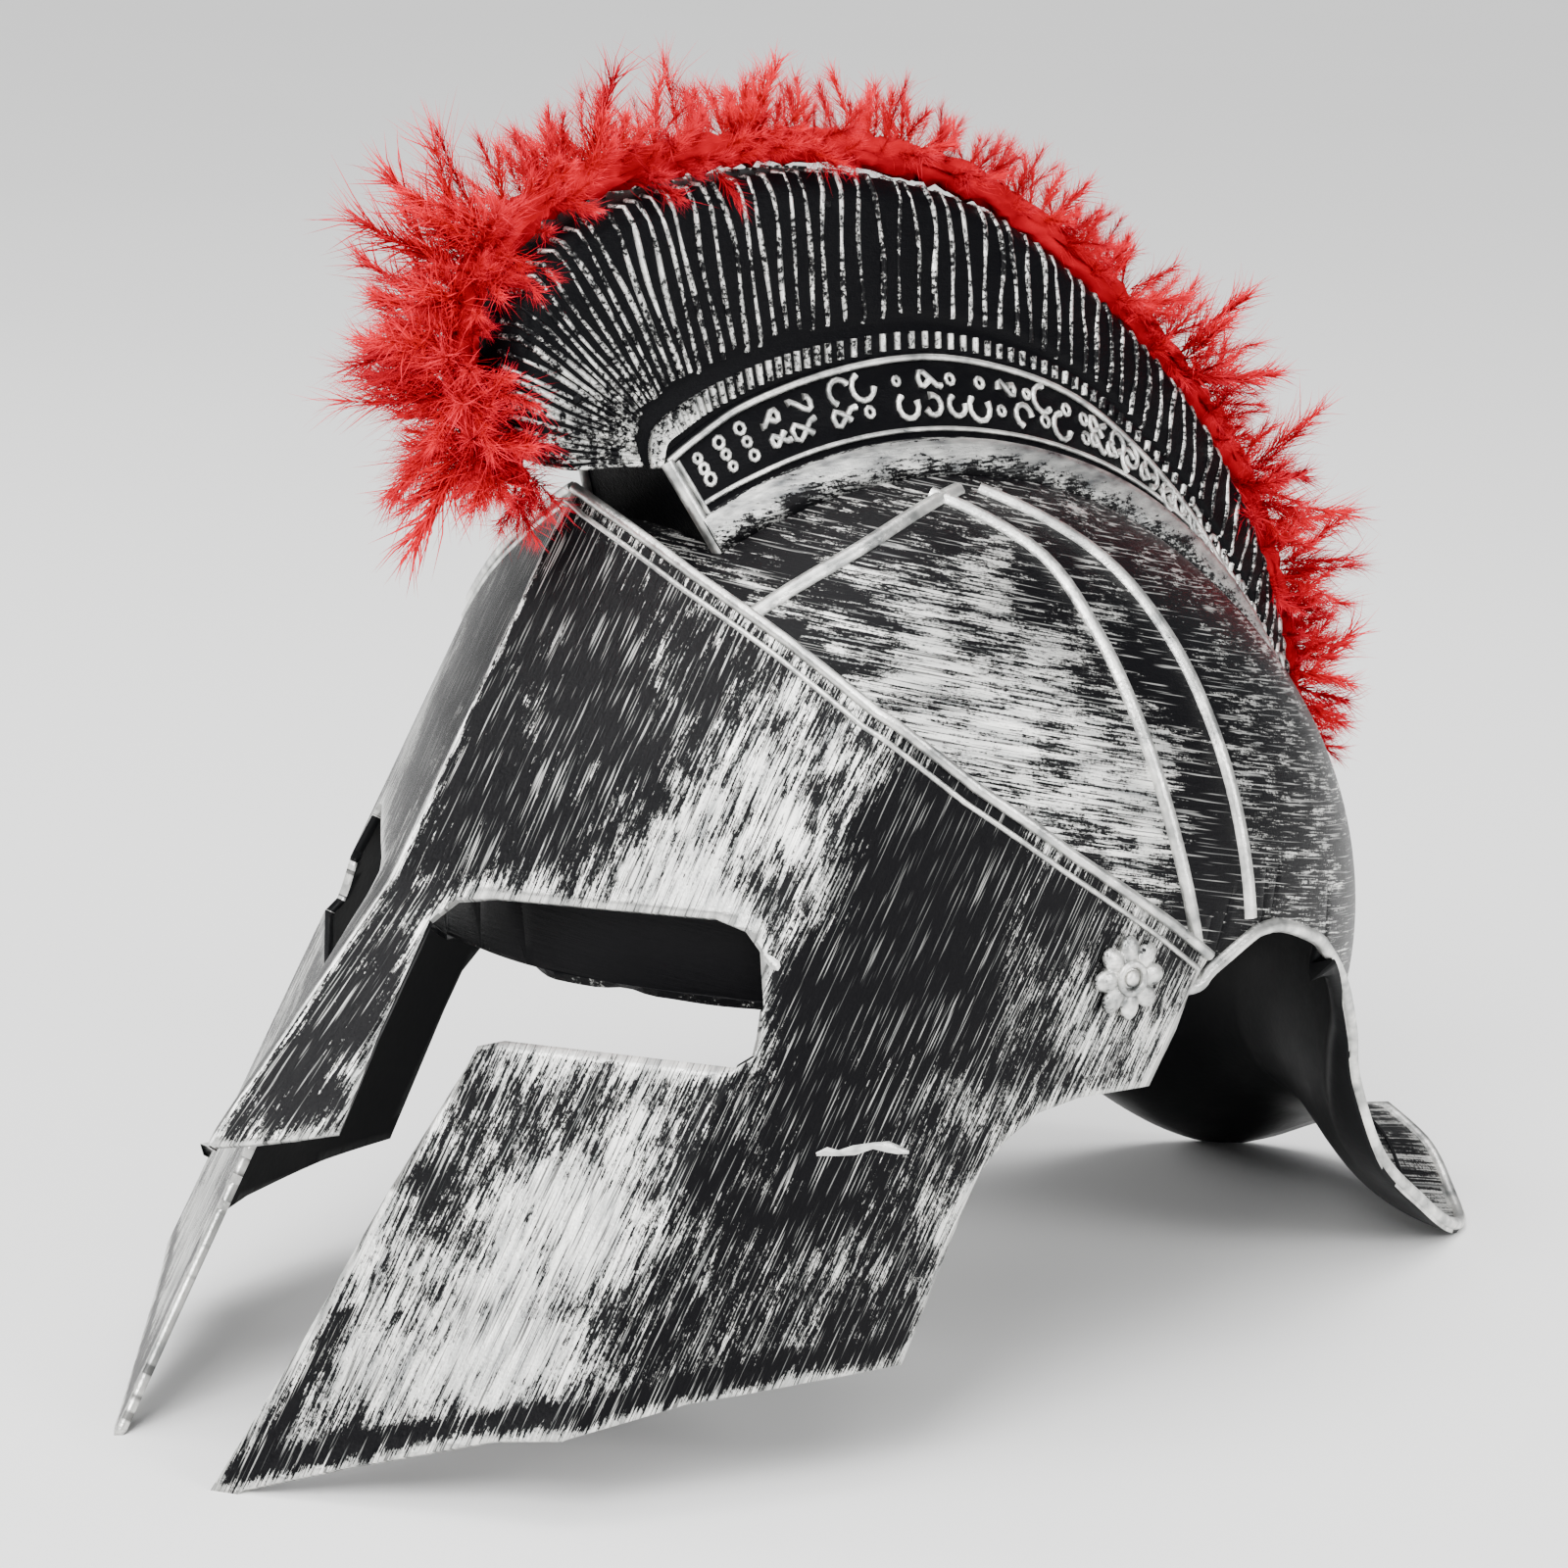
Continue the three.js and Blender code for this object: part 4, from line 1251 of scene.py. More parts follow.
    def add_edge(self, bm: Mesh) -> None:
        """Add the bead round the arches and the guard, dots by the arches and a line on the guard.

        Args:
            bm: Mesh that takes it.
        """
        path, dots, grooves = [], [], []
        first, last = self.bead_span
        for i in range(241):
            across = first + (last - first) * i / 240
            place = self.surface(across, 0.995)
            place.z = max(place.z, 1.65 - FLOOR_LIFT)
            path.append((metres(place), self.bead_radius))
            if self.guard_span[0] < across < self.guard_span[1]:
                grooves.append((metres(self.surface(across, 0.93)), 0.6))
            else:
                dots.append((metres(self.surface(across, 0.972)), 0.8))
        tubes(bm, [path], 2, 0.7)
        tubes(bm, [grooves], 0, 0.2)
        studs(bm, dots[::2], 2, 0.8)


@dataclass
class Crest:
    """Hollow crest: a ribbed comb on a wider base with raised ornament."""

    dome: Dome
    rib_count: int = 74
    dash_count: int = 96
    base_top: float = 15.0
    base_bottom: float = 26.0
    flange_out: float = 2.4
    flange_up: float = 6.5
    stations: int = 120
    comb_stations: int = 140
    comb_step: float = 0.06
    swell: float = 6.2
    swell_from: float = 0.4
    swell_over: float = 0.25
    columns: int = 30
    seed: int = 11
    comb: tuple[Row, ...] = (
        (117, 201.5, 93, 202), (117.5, 203, 83, 212), (118, 205, 80.5, 225), (119, 206, 84, 240),
        (122, 207.5, 99, 251.5), (130, 211.5, 119, 257), (145, 216.5, 141, 259.5),
        (162, 219.5, 163, 260.2),
        (187, 221, 189, 256.5), (210, 217, 214, 248.5), (231, 209.5, 236, 235.5), (249, 198, 257, 219.5),
        (268, 181, 277, 201), (285, 160, 295, 177), (299, 140, 307, 151), (307, 123, 313, 128),
    )
    base: tuple[Row, ...] = (
        (116.5, 203, 133, 170), (125, 208, 141, 178), (138, 214, 150, 184), (162, 219.5, 167, 189),
        (187, 221, 187, 190), (210, 217, 206, 188), (231, 209.5, 223, 181), (249, 198, 239, 170),
        (268, 181, 255, 156), (285, 160, 270, 138), (299, 140, 282, 122), (307, 123, 291, 108),
    )
    section: tuple[Row, ...] = (
        (-0.08, 14.4), (0, 15), (0.13, 14.3), (0.17, 12.5), (0.22, 13.6), (0.55, 11.4), (0.92, 8.4),
        (1, 6.2),
    )

    def comb_point(self, place: float, share: float, sign: float, out: float = 0.0) -> Vector:
        """Place on the comb's side at a share along and a share up, moved out by mm.

        Args:
            place: Share of the way along, 0 at the front.
            share: Share of the way up.
            sign: Side.
            out: Distance out in mm.

        Returns:
            The place in the tables' millimetres.
        """
        row = along(self.comb, place)
        half = between(self.section, share) + out
        ahead = clamp((self.swell_from - place) / self.swell_over)
        half += self.swell * clamp(share) ** 1.5 * ahead**1.5
        return Vector(
            (sign * half, row[0] + share * (row[2] - row[0]), row[1] + share * (row[3] - row[1]))
        )

    def base_point(self, place: float, share: float, sign: float, out: float = 0.0) -> Vector:
        """Place on the base's side, from its rim at 0 to the comb's foot at 1.

        Args:
            place: Share of the way along, 0 at the front.
            share: Share of the way up.
            sign: Side.
            out: Distance out in mm.

        Returns:
            The place in the tables' millimetres.
        """
        row = along(self.base, place)
        half = self.base_bottom + share * (self.base_top - self.base_bottom) + out
        return Vector(
            (sign * half, row[2] + share * (row[0] - row[2]), row[3] + share * (row[1] - row[3]))
        )

    def share_above_dome(self, place: float, grow: float, out: float) -> float:
        """Share of the base's side where it meets the dome grown by a distance.

        Args:
            place: Share of the way along.
            grow: How much larger the dome is taken, in mm.
            out: Distance of the base's side out in mm.

        Returns:
            The share of the way up.
        """
        low, high = 0.0, 1.0
        for _ in range(24):
            middle = 0.5 * (low + high)
            if self.dome.size(self.base_point(place, middle, 1, out), grow) < 1:
                low = middle
            else:
                high = middle
        return 0.5 * (low + high)

    def comb_body(self) -> Mesh:
        """Comb's black body, closed below and at both ends.

        Returns:
            The body.
        """
        shares: list[float] = []
        for (low, _), (high, _) in zip(self.section, self.section[1:]):
            steps = max(1, int((high - low) / self.comb_step))
            shares += [low + (high - low) * k / steps for k in range(steps)]
        shares.append(1.0)
        ring = [(-1, share) for share in shares] + [(1, share) for share in reversed(shares)]
        count = len(ring) - 1

        def surface(across: float, down: float) -> Vector:
            """Place on the comb at a share round its section and a share along."""
            sign, share = ring[round(across * count)]
            return metres(self.comb_point(down, share, sign))

        def measure(across: float, down: float) -> tuple[float, float]:
            """Surface coordinates in metres."""
            return across * 0.12, down * 0.3

        bm = mapped_grid(count, self.comb_stations, surface, measure, lambda a, d: 0.2)
        bmesh.ops.holes_fill(bm, edges=[e for e in bm.edges if e.is_boundary], sides=0)
        bmesh.ops.recalc_face_normals(bm, faces=bm.faces[:])
        return bm

    def base_body(self) -> Mesh:
        """Base with its flange, closed at both ends.

        Returns:
            The base, with its flange in the material slot of the plain band.
        """
        out = self.flange_out
        profiles = []
        for i in range(self.stations + 1):
            place = i / self.stations
            step = self.share_above_dome(place, self.flange_up, out)
            foot = self.share_above_dome(place, -1.0, out)
            half = [
                (1.0, 0.0, 0.2), (0.5 * (1 + step), 0.0, 0.15), (step + 0.015, 0.0, 0.15),
                (step + 0.01, out * 0.9, 0.9), (step - 0.03, out, 1.0),
                (0.5 * (step + foot), out, 0.55), (foot, out * 0.9, 0.4),
            ]
            ring = [(-1, *row) for row in half] + [(1, *row) for row in reversed(half)]
            profiles.append(ring + ring[:1])
        columns = len(profiles[0]) - 1
        under, closing = columns // 2 - 1, columns - 1

        def surface(across: float, down: float) -> Vector:
            """Place on the base at a share round its section and a share along.

            Args:
                across: Share of the way round the section.
                down: Share of the way along.

            Returns:
                The place in metres.
            """
            station = round(down * self.stations)
            sign, share, moved, _ = profiles[station][round(across * columns)]
            return metres(self.base_point(station / self.stations, share, sign, moved))

        def paint(across: float, down: float) -> float:
            """How full the brush was there."""
            return profiles[round(down * self.stations)][round(across * columns)][3]

        bm = mapped_grid(columns, self.stations, surface, lambda a, d: (a, d), paint)
        uv = bm.loops.layers.uv["surface"]
        plain = (0, 1, under, closing - 2, closing - 1, closing)
        for face in bm.faces:
            column = round(min(loop[uv].uv.x for loop in face.loops) * columns)
            face.material_index = 0 if column in plain else 3
        bmesh.ops.remove_doubles(bm, verts=bm.verts[:], dist=1e-9)
        rims = [edge for edge in bm.edges if edge.is_boundary]
        for face in bmesh.ops.holes_fill(bm, edges=rims, sides=0)["faces"]:
            face.smooth = False
            face.material_index = 0
        bmesh.ops.recalc_face_normals(bm, faces=bm.faces[:])
        return bm

    def rib_paths(self, rng: random.Random) -> list[Cord]:
        """Wavy ribs from the dash row to the top.

        Args:
            rng: Source of their waves and widths.

        Returns:
            One cord a rib.
        """
        paths = []
        for sign in (-1, 1):
            for k in range(self.rib_count):
                middle = (k + 0.5) / self.rib_count
                phase, turns, sway = rng.uniform(0, TURN), rng.uniform(0.5, 1.1), rng.uniform(0.08, 0.24)
                start, size = rng.uniform(0.19, 0.23), rng.uniform(0.7, 1.15)
                path = []
                for i in range(15):
                    t = i / 14
                    share = start + (1.0 - start) * t
                    shift = sway * math.sin(TURN * turns * t + phase) * (0.3 + t) / self.rib_count
                    place = self.comb_point(clamp(middle + shift, 0.004, 0.996), share, sign, -0.1)
                    width = size * (0.45 + 0.32 * abs(math.sin(4.3 * t + phase)))
                    path.append((metres(place), width))
                last = along(self.comb, middle)
                crown = Vector((0, last[2], last[3]))
                path.append((metres(crown.lerp(self.comb_point(middle, 1.0, sign), 0.5)), 0.7))
                paths.append(path)
        return paths

    def relief_paths(self, rng: random.Random) -> list[Cord]:
        """Scrolls and rings on both sides of the base.

        Args:
            rng: Source of their forms.

        Returns:
            One cord a ring or scroll.
        """
        paths: list[Cord] = []
        for side in Side:
            for k in range(self.columns):
                place = 0.035 + 0.9 * ((k + 0.5) / self.columns) ** 0.8
                low = self.share_above_dome(place, self.flange_up, 0) + 0.12
                high = 0.9
                rows = 3 if k < 3 else 2
                for r in range(rows):
                    share = low + (high - low) * (r + 0.5) / rows
                    kind = rng.random()
                    spot = clamp(place + (rng.uniform(-0.006, 0.006) if k > 2 else 0))
                    ring = kind < 0.34 or k < 3
                    size, start = rng.uniform(2.0, 3.2), rng.uniform(0, TURN)
                    sweep = rng.choice((-1, 1)) * rng.uniform(3.6, 5.0)
                    snake = kind > 0.75
                    if ring:
                        size, sweep = rng.uniform(0.9, 1.3), 2 * math.pi
                    path = []
                    for i in range(9):
                        t = i / 8
                        angle = start + sweep * t
                        run = size * math.cos(angle) * (1.2 if snake else 1.0)
                        rise = size * math.sin(angle * (2 if snake else 1)) * (0.6 if snake else 1.0)
                        centre = self.base_point(spot, share, side.value, 0.15)
                        ahead = self.base_point(clamp(spot + 0.01), share, side.value, 0.15)
                        over = self.base_point(spot, share + 0.05, side.value, 0.15)
                        point = (
                            centre
                            + (ahead - centre).normalized() * run
                            + (over - centre).normalized() * rise
                        )
                        path.append((metres(point), 0.55 if ring else 0.7 if 0 < i < 8 else 0.9))
                    paths.append(path)
        return paths

    def frame_paths(self) -> list[Cord]:
        """Fine line over the ornament, the bar at its front, and the lines beside the bar.

        Returns:
            Four cords a side.
        """
        paths = []
        for side in Side:
            top, low, bar, second = [], [], [], []
            for i in range(91):
                spot = self.base_point(0.01 + 0.97 * i / 90, 0.96, side.value, 0.2)
                top.append((metres(spot), 0.8))
                place = 0.03 + 0.95 * i / 90
                share = self.share_above_dome(place, self.flange_up, 0) + 0.05
                low.append((metres(self.base_point(place, share, side.value, 0.1)), 0.6))
            for i in range(12):
                spot = self.base_point(0.006, 0.97 - 0.94 * i / 11, side.value, 0.3)
                bar.append((metres(spot), 1.7))
                spot = self.base_point(0.032, 0.93 - 0.7 * i / 11, side.value, 0.15)
                second.append((metres(spot), 0.7))
            paths += [top, low, bar, second]
        return paths

    def dash_paths(self) -> list[Cord]:
        """Row of short upright dashes between the ornament and the ribs.

        Returns:
            One cord a dash.
        """
        paths = []
        for side in Side:
            for k in range(self.dash_count):
                place = (k + 0.5) / self.dash_count
                rises = (0.02 + 0.025 * i for i in range(5))
                dash = [self.comb_point(place, share, side.value, 0.1) for share in rises]
                paths.append([(metres(point), 0.85) for point in dash])
        return paths

    def build(self, finishes: Finishes) -> Piece:
        """Crest piece: comb, base, ribs, dashes, ornament and two small blow holes a side.

        Args:
            finishes: The materials.

        Returns:
            The piece, in place of the CAD crest.
        """
        rng = random.Random(self.seed)
        bm = self.comb_body()
        join(bm, self.base_body())
        tubes(bm, self.rib_paths(rng), 1, 0.5, 1)
        tubes(bm, self.dash_paths(), 1, 0.6, 1)
        tubes(bm, self.relief_paths(rng), 2, 0.75, 1)
        tubes(bm, self.frame_paths(), 2, 0.7, 1)
        holes = [
            (metres(self.comb_point(place, share, side.value, -0.2)), 1.35)
            for place, share in ((0.13, 0.62), (0.47, 0.84))
            for side in Side
        ]
        studs(bm, holes, 4, 0.0)
        materials = [finishes.comb, finishes.raised, finishes.edge, finishes.guard, finishes.inside]
        return shown("crest_moulding", bm, materials, ["crest"])


@dataclass
class Rosette:
    """Cast flower over the rivet that joins mask and skull at each temple."""

    mask: FaceMask
    across: float = 157.0
    up: float = 99.1
    radius: float = 9.2
    petals: int = 8

    def matrix(self, side: Side) -> Matrix:
        """Frame with its Z axis out of the mask.

        Args:
            side: Which temple.

        Returns:
            The frame in metres.
        """
        place = self.mask.surface(side.value * self.across, self.up)
        normal = self.mask.normal(side.value * self.across, self.up)
        if normal.x * side.value < 0:
            normal = -normal
        turned = normal.to_track_quat("Z", "Y").to_matrix().to_4x4()
        return Matrix.Translation(metres(place)) @ turned

    def add_disc(
        self, bm: Mesh, lower: float, upper: float, low: float, high: float, segments: int
    ) -> None:
        """Add a round solid on the rosette's axis.

        Args:
            bm: Mesh that takes it.
            lower: Radius at its foot in mm.
            upper: Radius at its top in mm.
            low: Height of its foot in mm.
            high: Height of its top in mm.
            segments: Sides.
        """
        bmesh.ops.create_cone(
            bm,
            cap_ends=True,
            segments=segments,
            radius1=lower * MM,
            radius2=upper * MM,
            depth=(high - low) * MM,
            matrix=Matrix.Translation((0, 0, 0.5 * (low + high) * MM)),
        )

    def build(self, side: Side, finishes: Finishes) -> Piece:
        """Rosette of one side, with its petals, ring, boss and the rivet's inner head.

        Args:
            side: Which temple.
            finishes: The materials.

        Returns:
            The piece, in place of the CAD rosette.
        """
        bm = bmesh.new()
        layer = float_layer(bm, "brushed")
        for k in range(self.petals):
            angle = 2 * math.pi * k / self.petals
            middle = Vector((math.cos(angle), math.sin(angle), 0)) * self.radius * 0.63 * MM
            turned = (
                Matrix.Translation(middle + Vector((0, 0, 1.1 * MM)))
                @ Matrix.Rotation(angle, 4, "Z")
                @ Matrix.Diagonal((3.5 * MM, 2.5 * MM, 1.5 * MM, 1))
            )
            bmesh.ops.create_icosphere(bm, subdivisions=2, radius=1, matrix=turned)
        self.add_disc(bm, 6.6, 6.2, 0.3, 1.9, 32)
        around = (2 * math.pi * i / 28 for i in range(29))
        ring = [(Vector((3.2 * math.cos(a), 3.2 * math.sin(a), 2.3)) * MM, 0.8) for a in around]
        tubes(bm, [ring], 0, 0.9)
        boss = Matrix.Diagonal((1.9 * MM, 1.9 * MM, 1.2 * MM, 1))
        boss = Matrix.Translation((0, 0, 2.1 * MM)) @ boss
        bmesh.ops.create_icosphere(bm, subdivisions=2, radius=1.0, matrix=boss)
        self.add_disc(bm, 1.7, 1.7, -7.4, 1.0, 20)
        self.add_disc(bm, 3.6, 3.6, -9.0, -7.6, 20)
        for vert in bm.verts:
            vert[layer] = 0.35 + 0.4 * clamp(vert.co.z / (2.4 * MM))
        smooth(bm)
        bmesh.ops.transform(bm, matrix=self.matrix(side), verts=bm.verts[:])
        name = side.name.lower()
        replaced = [f"rosette_{name}"]
        return shown(f"rosette_flower_{name}", bm, [finishes.raised], replaced)


class BoaRun(Enum):
    """Runs of tufts, each its own piece: name, first share, last share, tufts, and whether long."""

    FRONT = ("front", 0.0, 0.24, 165, True)
    CROWN = ("crown", 0.24, 0.48, 145, True)
    TOP = ("top", 0.48, 0.74, 145, True)
    BACK = ("back", 0.74, 1.0, 155, True)
    SHORT = ("short", 0.0, 1.0, 150, False)


@dataclass
class FeatherBoa:
    """Red marabou boa along the comb's top: tufts of down on a thin cord.

    Real down has barbs of about 0.02 mm, far too many to draw. Each barb here
    stands for several, 0.1 to 0.3 mm wide, and the eye still gets soft clumps
    with ragged, paler ends. The path and the reach are in mm.
    """

    seed: int = 5
    variants: int = 9
    barbs: int = 100
    barb_width: float = 0.0072
    short_reach: Row = (10.5, 15.0)
    cord_radius: float = 3.5
    path: tuple[Row, ...] = (
        (93, 197.5), (80, 208), (75, 224), (78, 241), (95, 256.5), (118, 262.5), (141, 265), (163, 265.7),
        (190, 261.8), (216, 253.4), (239, 239.6), (261, 223), (281.5, 203.5), (300, 179), (312.5, 152),
        (318.5, 129), (321, 113),
    )
    reach: tuple[Row, ...] = (
        (0.0, 15.0), (0.04, 22.0), (0.12, 26.0), (0.2, 21.0), (0.3, 16.5), (0.42, 13.0),
        (0.55, 12.0), (0.66, 14.0), (0.76, 19.5), (0.86, 21.0), (0.95, 17.0), (1.0, 13.0),
    )

    def barb(self) -> bpy.types.Mesh:
        """One straight barb of unit length along Z with three sides, made by extruding its foot.

        Returns:
            The mesh.
        """
        bm = bmesh.new()
        bmesh.ops.create_circle(bm, cap_ends=True, segments=3, radius=1.0)
        edges = bm.edges[:]
        for height, wide in ((0.5, 0.75), (1.0, 0.04)):
            made = bmesh.ops.extrude_edge_only(bm, edges=edges)["geom"]
            verts = [g for g in made if isinstance(g, bmesh.types.BMVert)]
            edges = [g for g in made if isinstance(g, bmesh.types.BMEdge)]
            edges = [edge for edge in edges if all(vert in verts for vert in edge.verts)]
            for vert in verts:
                flat = Vector((vert.co.x, vert.co.y, 0)).normalized() * wide
                vert.co = Vector((flat.x, flat.y, height))
        bmesh.ops.remove_doubles(bm, verts=[v for v in bm.verts if v.co.z > 0.9], dist=0.2)
        bmesh.ops.recalc_face_normals(bm, faces=bm.faces[:])
        mesh = bpy.data.meshes.new("barb")
        bm.to_mesh(mesh)
        bm.free()
        return mesh

    def tuft(self, rng: random.Random, barb: bpy.types.Mesh) -> bpy.types.Mesh:
        """Pointed tuft of unit length along Z: barbs that leave a bent quill.

        Args:
            rng: Source of its bends.
            barb: Mesh of a straight barb.

        Returns:
            The mesh, with its layer "reach".
        """
        bm = bmesh.new()
        layer = float_layer(bm, "reach")
        bend = Vector((rng.uniform(-0.25, 0.25), rng.uniform(-0.25, 0.25), 0))

        def quill(t: float) -> Vector:
            """Point of the quill."""
            return Vector((0, 0, t)) + bend * t * t

        for _ in range(self.barbs):
            root = 0.85 * rng.random() ** 0.8
            turn = rng.uniform(0, 2 * math.pi)
            splay = rng.uniform(0.1, 0.85) * (1 - 0.2 * root)
            out = Vector((math.cos(turn), math.sin(turn), 0))
            heading = (Vector((0, 0, 1)) + out * splay * 1.3 + bend * root).normalized()
            curl = out * rng.uniform(-0.55, 0.15) + Vector(
                (rng.uniform(-0.4, 0.4), rng.uniform(-0.4, 0.4), rng.uniform(-0.15, 0.15))
            )
            length = rng.uniform(0.3, 0.72) * (1.1 - 0.6 * root)
            first = len(bm.verts)
            bm.from_mesh(barb)
            bm.verts.ensure_lookup_table()
            side = heading.orthogonal().normalized()
            other = heading.cross(side)
            for vert in bm.verts[first:]:
                t = vert.co.z
                vert.co = (
                    quill(root)
                    + heading * t * length
                    + curl * t * t * length
                    + (side * vert.co.x + other * vert.co.y * 0.45) * self.barb_width
                )
                vert[layer] = clamp(root * 0.6 + t * 0.6)
        mesh = bpy.data.meshes.new("tuft")
        bm.to_mesh(mesh)
        bm.free()
        return mesh

    def spot(self, share: float) -> tuple[Vector, Vector, Vector]:
        """Place, run and outward direction at a share along the boa, in millimetres.

        Args:
            share: Share of the way along, 0 at the front.

        Returns:
            The place, and two unit vectors.
        """
        back, up = along(self.path, share)
        ahead = along(self.path, min(share + 0.01, 1))
        behind = along(self.path, max(share - 0.01, 0))
        run = Vector((0, ahead[0] - behind[0], ahead[1] - behind[1])).normalized()
        return Vector((0, back, up)), run, Vector((0, -run.z, run.y))

    def build(self, finishes: Finishes) -> list[Piece]:
        """The boa's runs of tufts and the cord at its heart.

        Args:
            finishes: The materials.

        Returns:
            The pieces, of which the top one replaces the CAD plume.
        """
        rng = random.Random(self.seed)
        barb = self.barb()
        variants = [self.tuft(rng, barb) for _ in range(self.variants)]
        pieces = []
        for run in BoaRun:
            name, first, last, count, long = run.value
            bm = bmesh.new()
            tone_layer = float_layer(bm, "tone")
            float_layer(bm, "reach")
            for k in range(count):
                share = first + (last - first) * (k + rng.random()) / count
                place, along_run, out = self.spot(share)
                angle = rng.uniform(-1, 1) ** 3 * 0.6 + rng.uniform(-1.75, 1.75)
                lean = rng.gauss(0, 0.38)
                if share < 0.06:
                    lean = lean * 0.4 + 0.1
                if share > 0.95:
                    lean += 0.4
                clump = 0.5 + 0.5 * math.sin(share * 95 + 1.3 * math.sin(share * 37))
                length = between(self.reach, share) * (0.66 + 0.62 * rng.random() ** 1.5)
                length *= (0.8 + 0.42 * clump) * (1 - 0.25 * abs(math.sin(angle)) ** 2)
                if not long:
                    angle = math.pi * rng.uniform(-0.72, 0.72)
                    length = rng.uniform(*self.short_reach)
                across = Vector((math.sin(angle), 0, 0))
                heading = (out * math.cos(angle) + across + along_run * lean).normalized()
                root = place + out * rng.uniform(-3.0, 2.0) + heading * rng.uniform(0.0, 4.0)
                turned = heading.to_track_quat("Z", "Y").to_matrix().to_4x4()
                matrix = (
                    Matrix.Translation(metres(root))
                    @ turned
                    @ Matrix.Rotation(rng.uniform(0, TURN), 4, "Z")
                    @ Matrix.Scale(length * MM, 4)
                )
                mesh = rng.choice(variants).copy()
                mesh.transform(matrix)
                before = len(bm.verts)
                bm.from_mesh(mesh)
                bm.verts.ensure_lookup_table()
                tone = rng.uniform(0.1, 0.75)
                for vert in bm.verts[before:]:
                    vert[tone_layer] = tone
                bpy.data.meshes.remove(mesh)
            smooth(bm)
            stands_for = ["plume"] if run is BoaRun.TOP else []
            pieces.append(shown(f"boa_{name}", bm, [finishes.down], stands_for))
        pieces.append(self.heart(rng, finishes))
        return pieces

    def heart(self, rng: random.Random, finishes: Finishes) -> Piece:
        """Dense short down round the boa's cord.

        Args:
            rng: Source of its unevenness.
            finishes: The materials.

        Returns:
            The piece.
        """
        bm = bmesh.new()
        bmesh.ops.create_grid(bm, x_segments=18, y_segments=160, size=0.5)
        tone = float_layer(bm, "tone")
        float_layer(bm, "reach")
        for vert in bm.verts:
            turn, share = 2 * math.pi * (vert.co.x + 0.5), vert.co.y + 0.5
            place, _, out = self.spot(share)
            ends = (math.sin(math.pi * clamp(12 * to_end, 0, 0.5)) for to_end in (share, 1 - share))
            taper = math.prod(ends)
            radius = (self.cord_radius + rng.uniform(-1.2, 1.2)) * max(taper, 0.02)
            wide = Vector((math.cos(turn), 0, 0)) + out * math.sin(turn)
            vert.co = metres(place + wide * radius)
            # Low tones give the core the deep red: painted shade inside the boa.
            vert[tone] = rng.uniform(0, 0.15)
        bmesh.ops.remove_doubles(bm, verts=bm.verts[:], dist=0.00012)
        bmesh.ops.holes_fill(bm, edges=[e for e in bm.edges if e.is_boundary], sides=0)
        bmesh.ops.recalc_face_normals(bm, faces=bm.faces[:])
        smooth(bm)
        return shown("boa_heart", bm, [finishes.down])


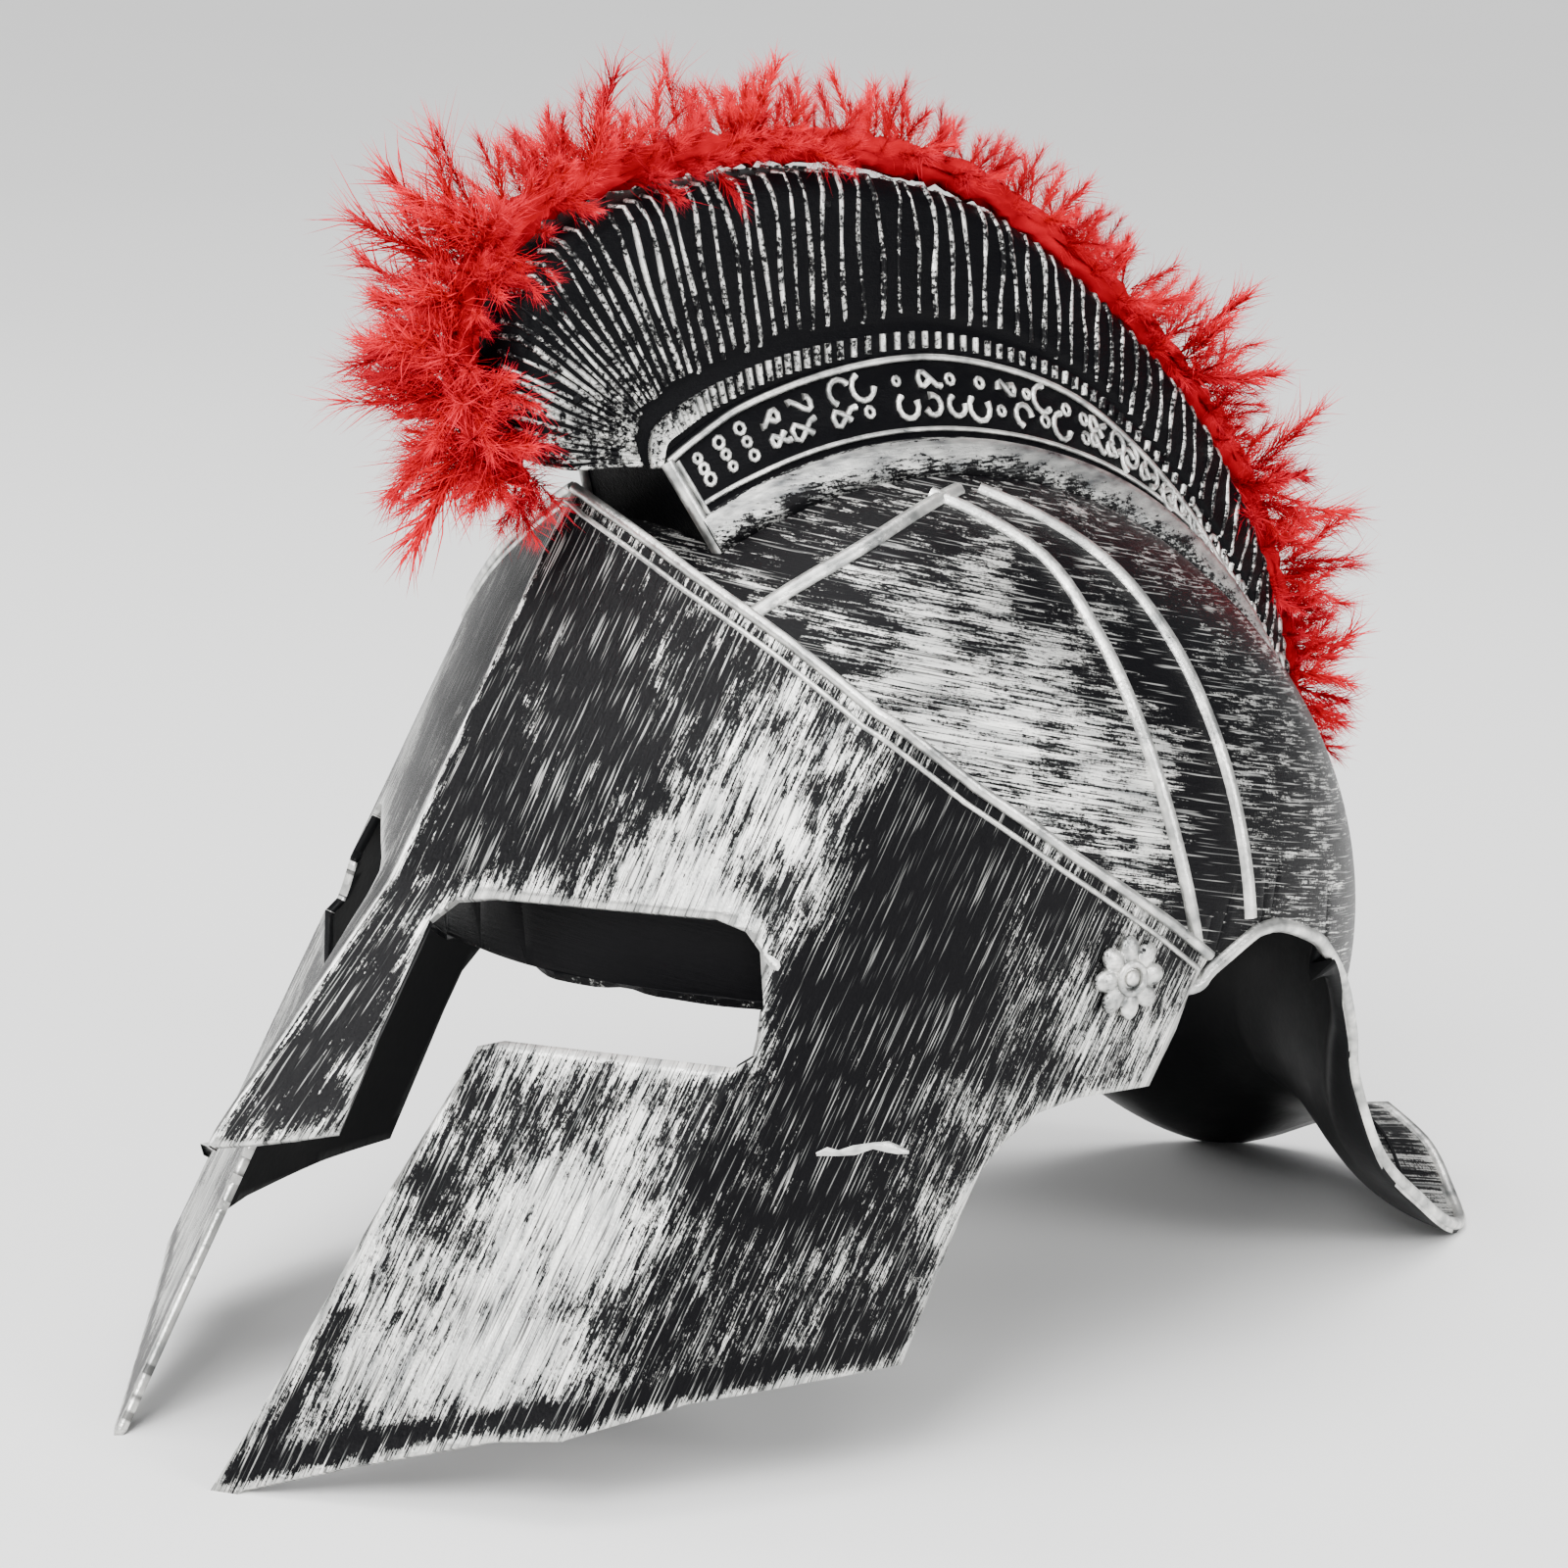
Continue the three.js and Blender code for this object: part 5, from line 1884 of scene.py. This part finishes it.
@dataclass
class Studio:
    """Camera at the photograph's angle, soft lights and a pale floor."""

    azimuth: float = math.radians(51.232)
    elevation: float = math.radians(13.025)
    roll: float = math.radians(1.524)
    distance: float = 1093.5
    focal: float = 5005.5 / 1600 * 36
    target: tuple[float, float] = (163.93, 123.52)
    # Name, place in metres, size in metres and power in watts
    lights: tuple[tuple[str, Row, float, float], ...] = (
        ("key", (0.75, -1.3, 1.35), 0.9, 45.0),
        ("side", (1.7, 0.5, 0.8), 0.7, 26.0),
        ("top", (-0.2, 0.2, 1.7), 1.0, 14.0),
        ("left", (-1.4, -1.0, 0.9), 0.9, 14.0),
    )
    aim: Vector = field(default_factory=lambda: Vector((0, 0, 0.12)))
    ceiling: float = 3.1
    ceiling_spread: float = math.radians(70)
    ambient: float = 0.36
    floor_half: float = 6.0

    def point(self, lamp: Piece, heading: Vector) -> None:
        """Turn a lamp so that it shines along a direction."""
        lamp.rotation_mode = "QUATERNION"
        lamp.rotation_quaternion = heading.to_track_quat("-Z", "Y")

    def camera(self) -> None:
        """Camera that frames the helmet as the photograph does."""
        a, e = self.azimuth, self.elevation
        toward = Vector((math.sin(a) * math.cos(e), -math.cos(a) * math.cos(e), math.sin(e)))
        right = Vector((math.cos(a), math.sin(a), 0))
        above = toward.cross(right)
        c, s = math.cos(self.roll), math.sin(self.roll)
        x_axis, y_axis = right * c + above * s, above * c - right * s
        data = bpy.data.cameras.new("camera")
        data.sensor_width = 36
        data.lens = self.focal
        data.clip_start, data.clip_end = 0.05, 50
        made = linked("camera", data)
        spot = placed(0, *self.target) + toward * self.distance * MM
        turned = Matrix((x_axis, y_axis, toward)).transposed().to_4x4()
        made.matrix_world = Matrix.Translation(spot) @ turned
        bpy.context.scene.camera = made

    def build(self, finishes: Finishes) -> None:
        """Camera, lights, world and floor.

        Args:
            finishes: The materials.
        """
        self.camera()
        for name, place, size, power in self.lights:
            data = bpy.data.lights.new(name, "AREA")
            data.shape, data.size, data.energy = "SQUARE", size, power
            lamp = linked(name, data)
            lamp.location = place
            self.point(lamp, self.aim - Vector(place))
        sky = bpy.data.lights.new("ceiling", "SUN")
        sky.energy, sky.angle = self.ceiling, self.ceiling_spread
        self.point(linked("ceiling", sky), Vector((-0.25, 0.3, -1)))
        world = bpy.data.worlds.new("studio")
        bpy.context.scene.world = world
        world.use_nodes = True
        world.node_tree.nodes.clear()
        feeds = {"Color": linear("#f7f8fa"), "Strength": self.ambient}
        back = add_node(world.node_tree, "ShaderNodeBackground", {}, feeds).outputs[0]
        add_node(world.node_tree, "ShaderNodeOutputWorld", {}, {"Surface": back})
        bm = bmesh.new()
        bmesh.ops.create_grid(bm, x_segments=2, y_segments=2, size=self.floor_half)
        mesh = bpy.data.meshes.new("floor")
        bm.to_mesh(mesh)
        bm.free()
        mesh.materials.append(finishes.paper)
        linked("floor", mesh)


def main() -> None:
    """Build the scene's pieces in order."""
    logging.basicConfig(level=logging.INFO, format="%(name)s %(message)s")
    finishes = Finishes.build()
    Studio().build(finishes)
    dome, mask = Dome(), FaceMask()
    Skull(dome, mask).build(finishes)
    mask.build(finishes)
    Crest(dome).build(finishes)
    for side in Side:
        Rosette(mask).build(side, finishes)
    FeatherBoa().build(finishes)


if __name__ == "__main__":
    main()
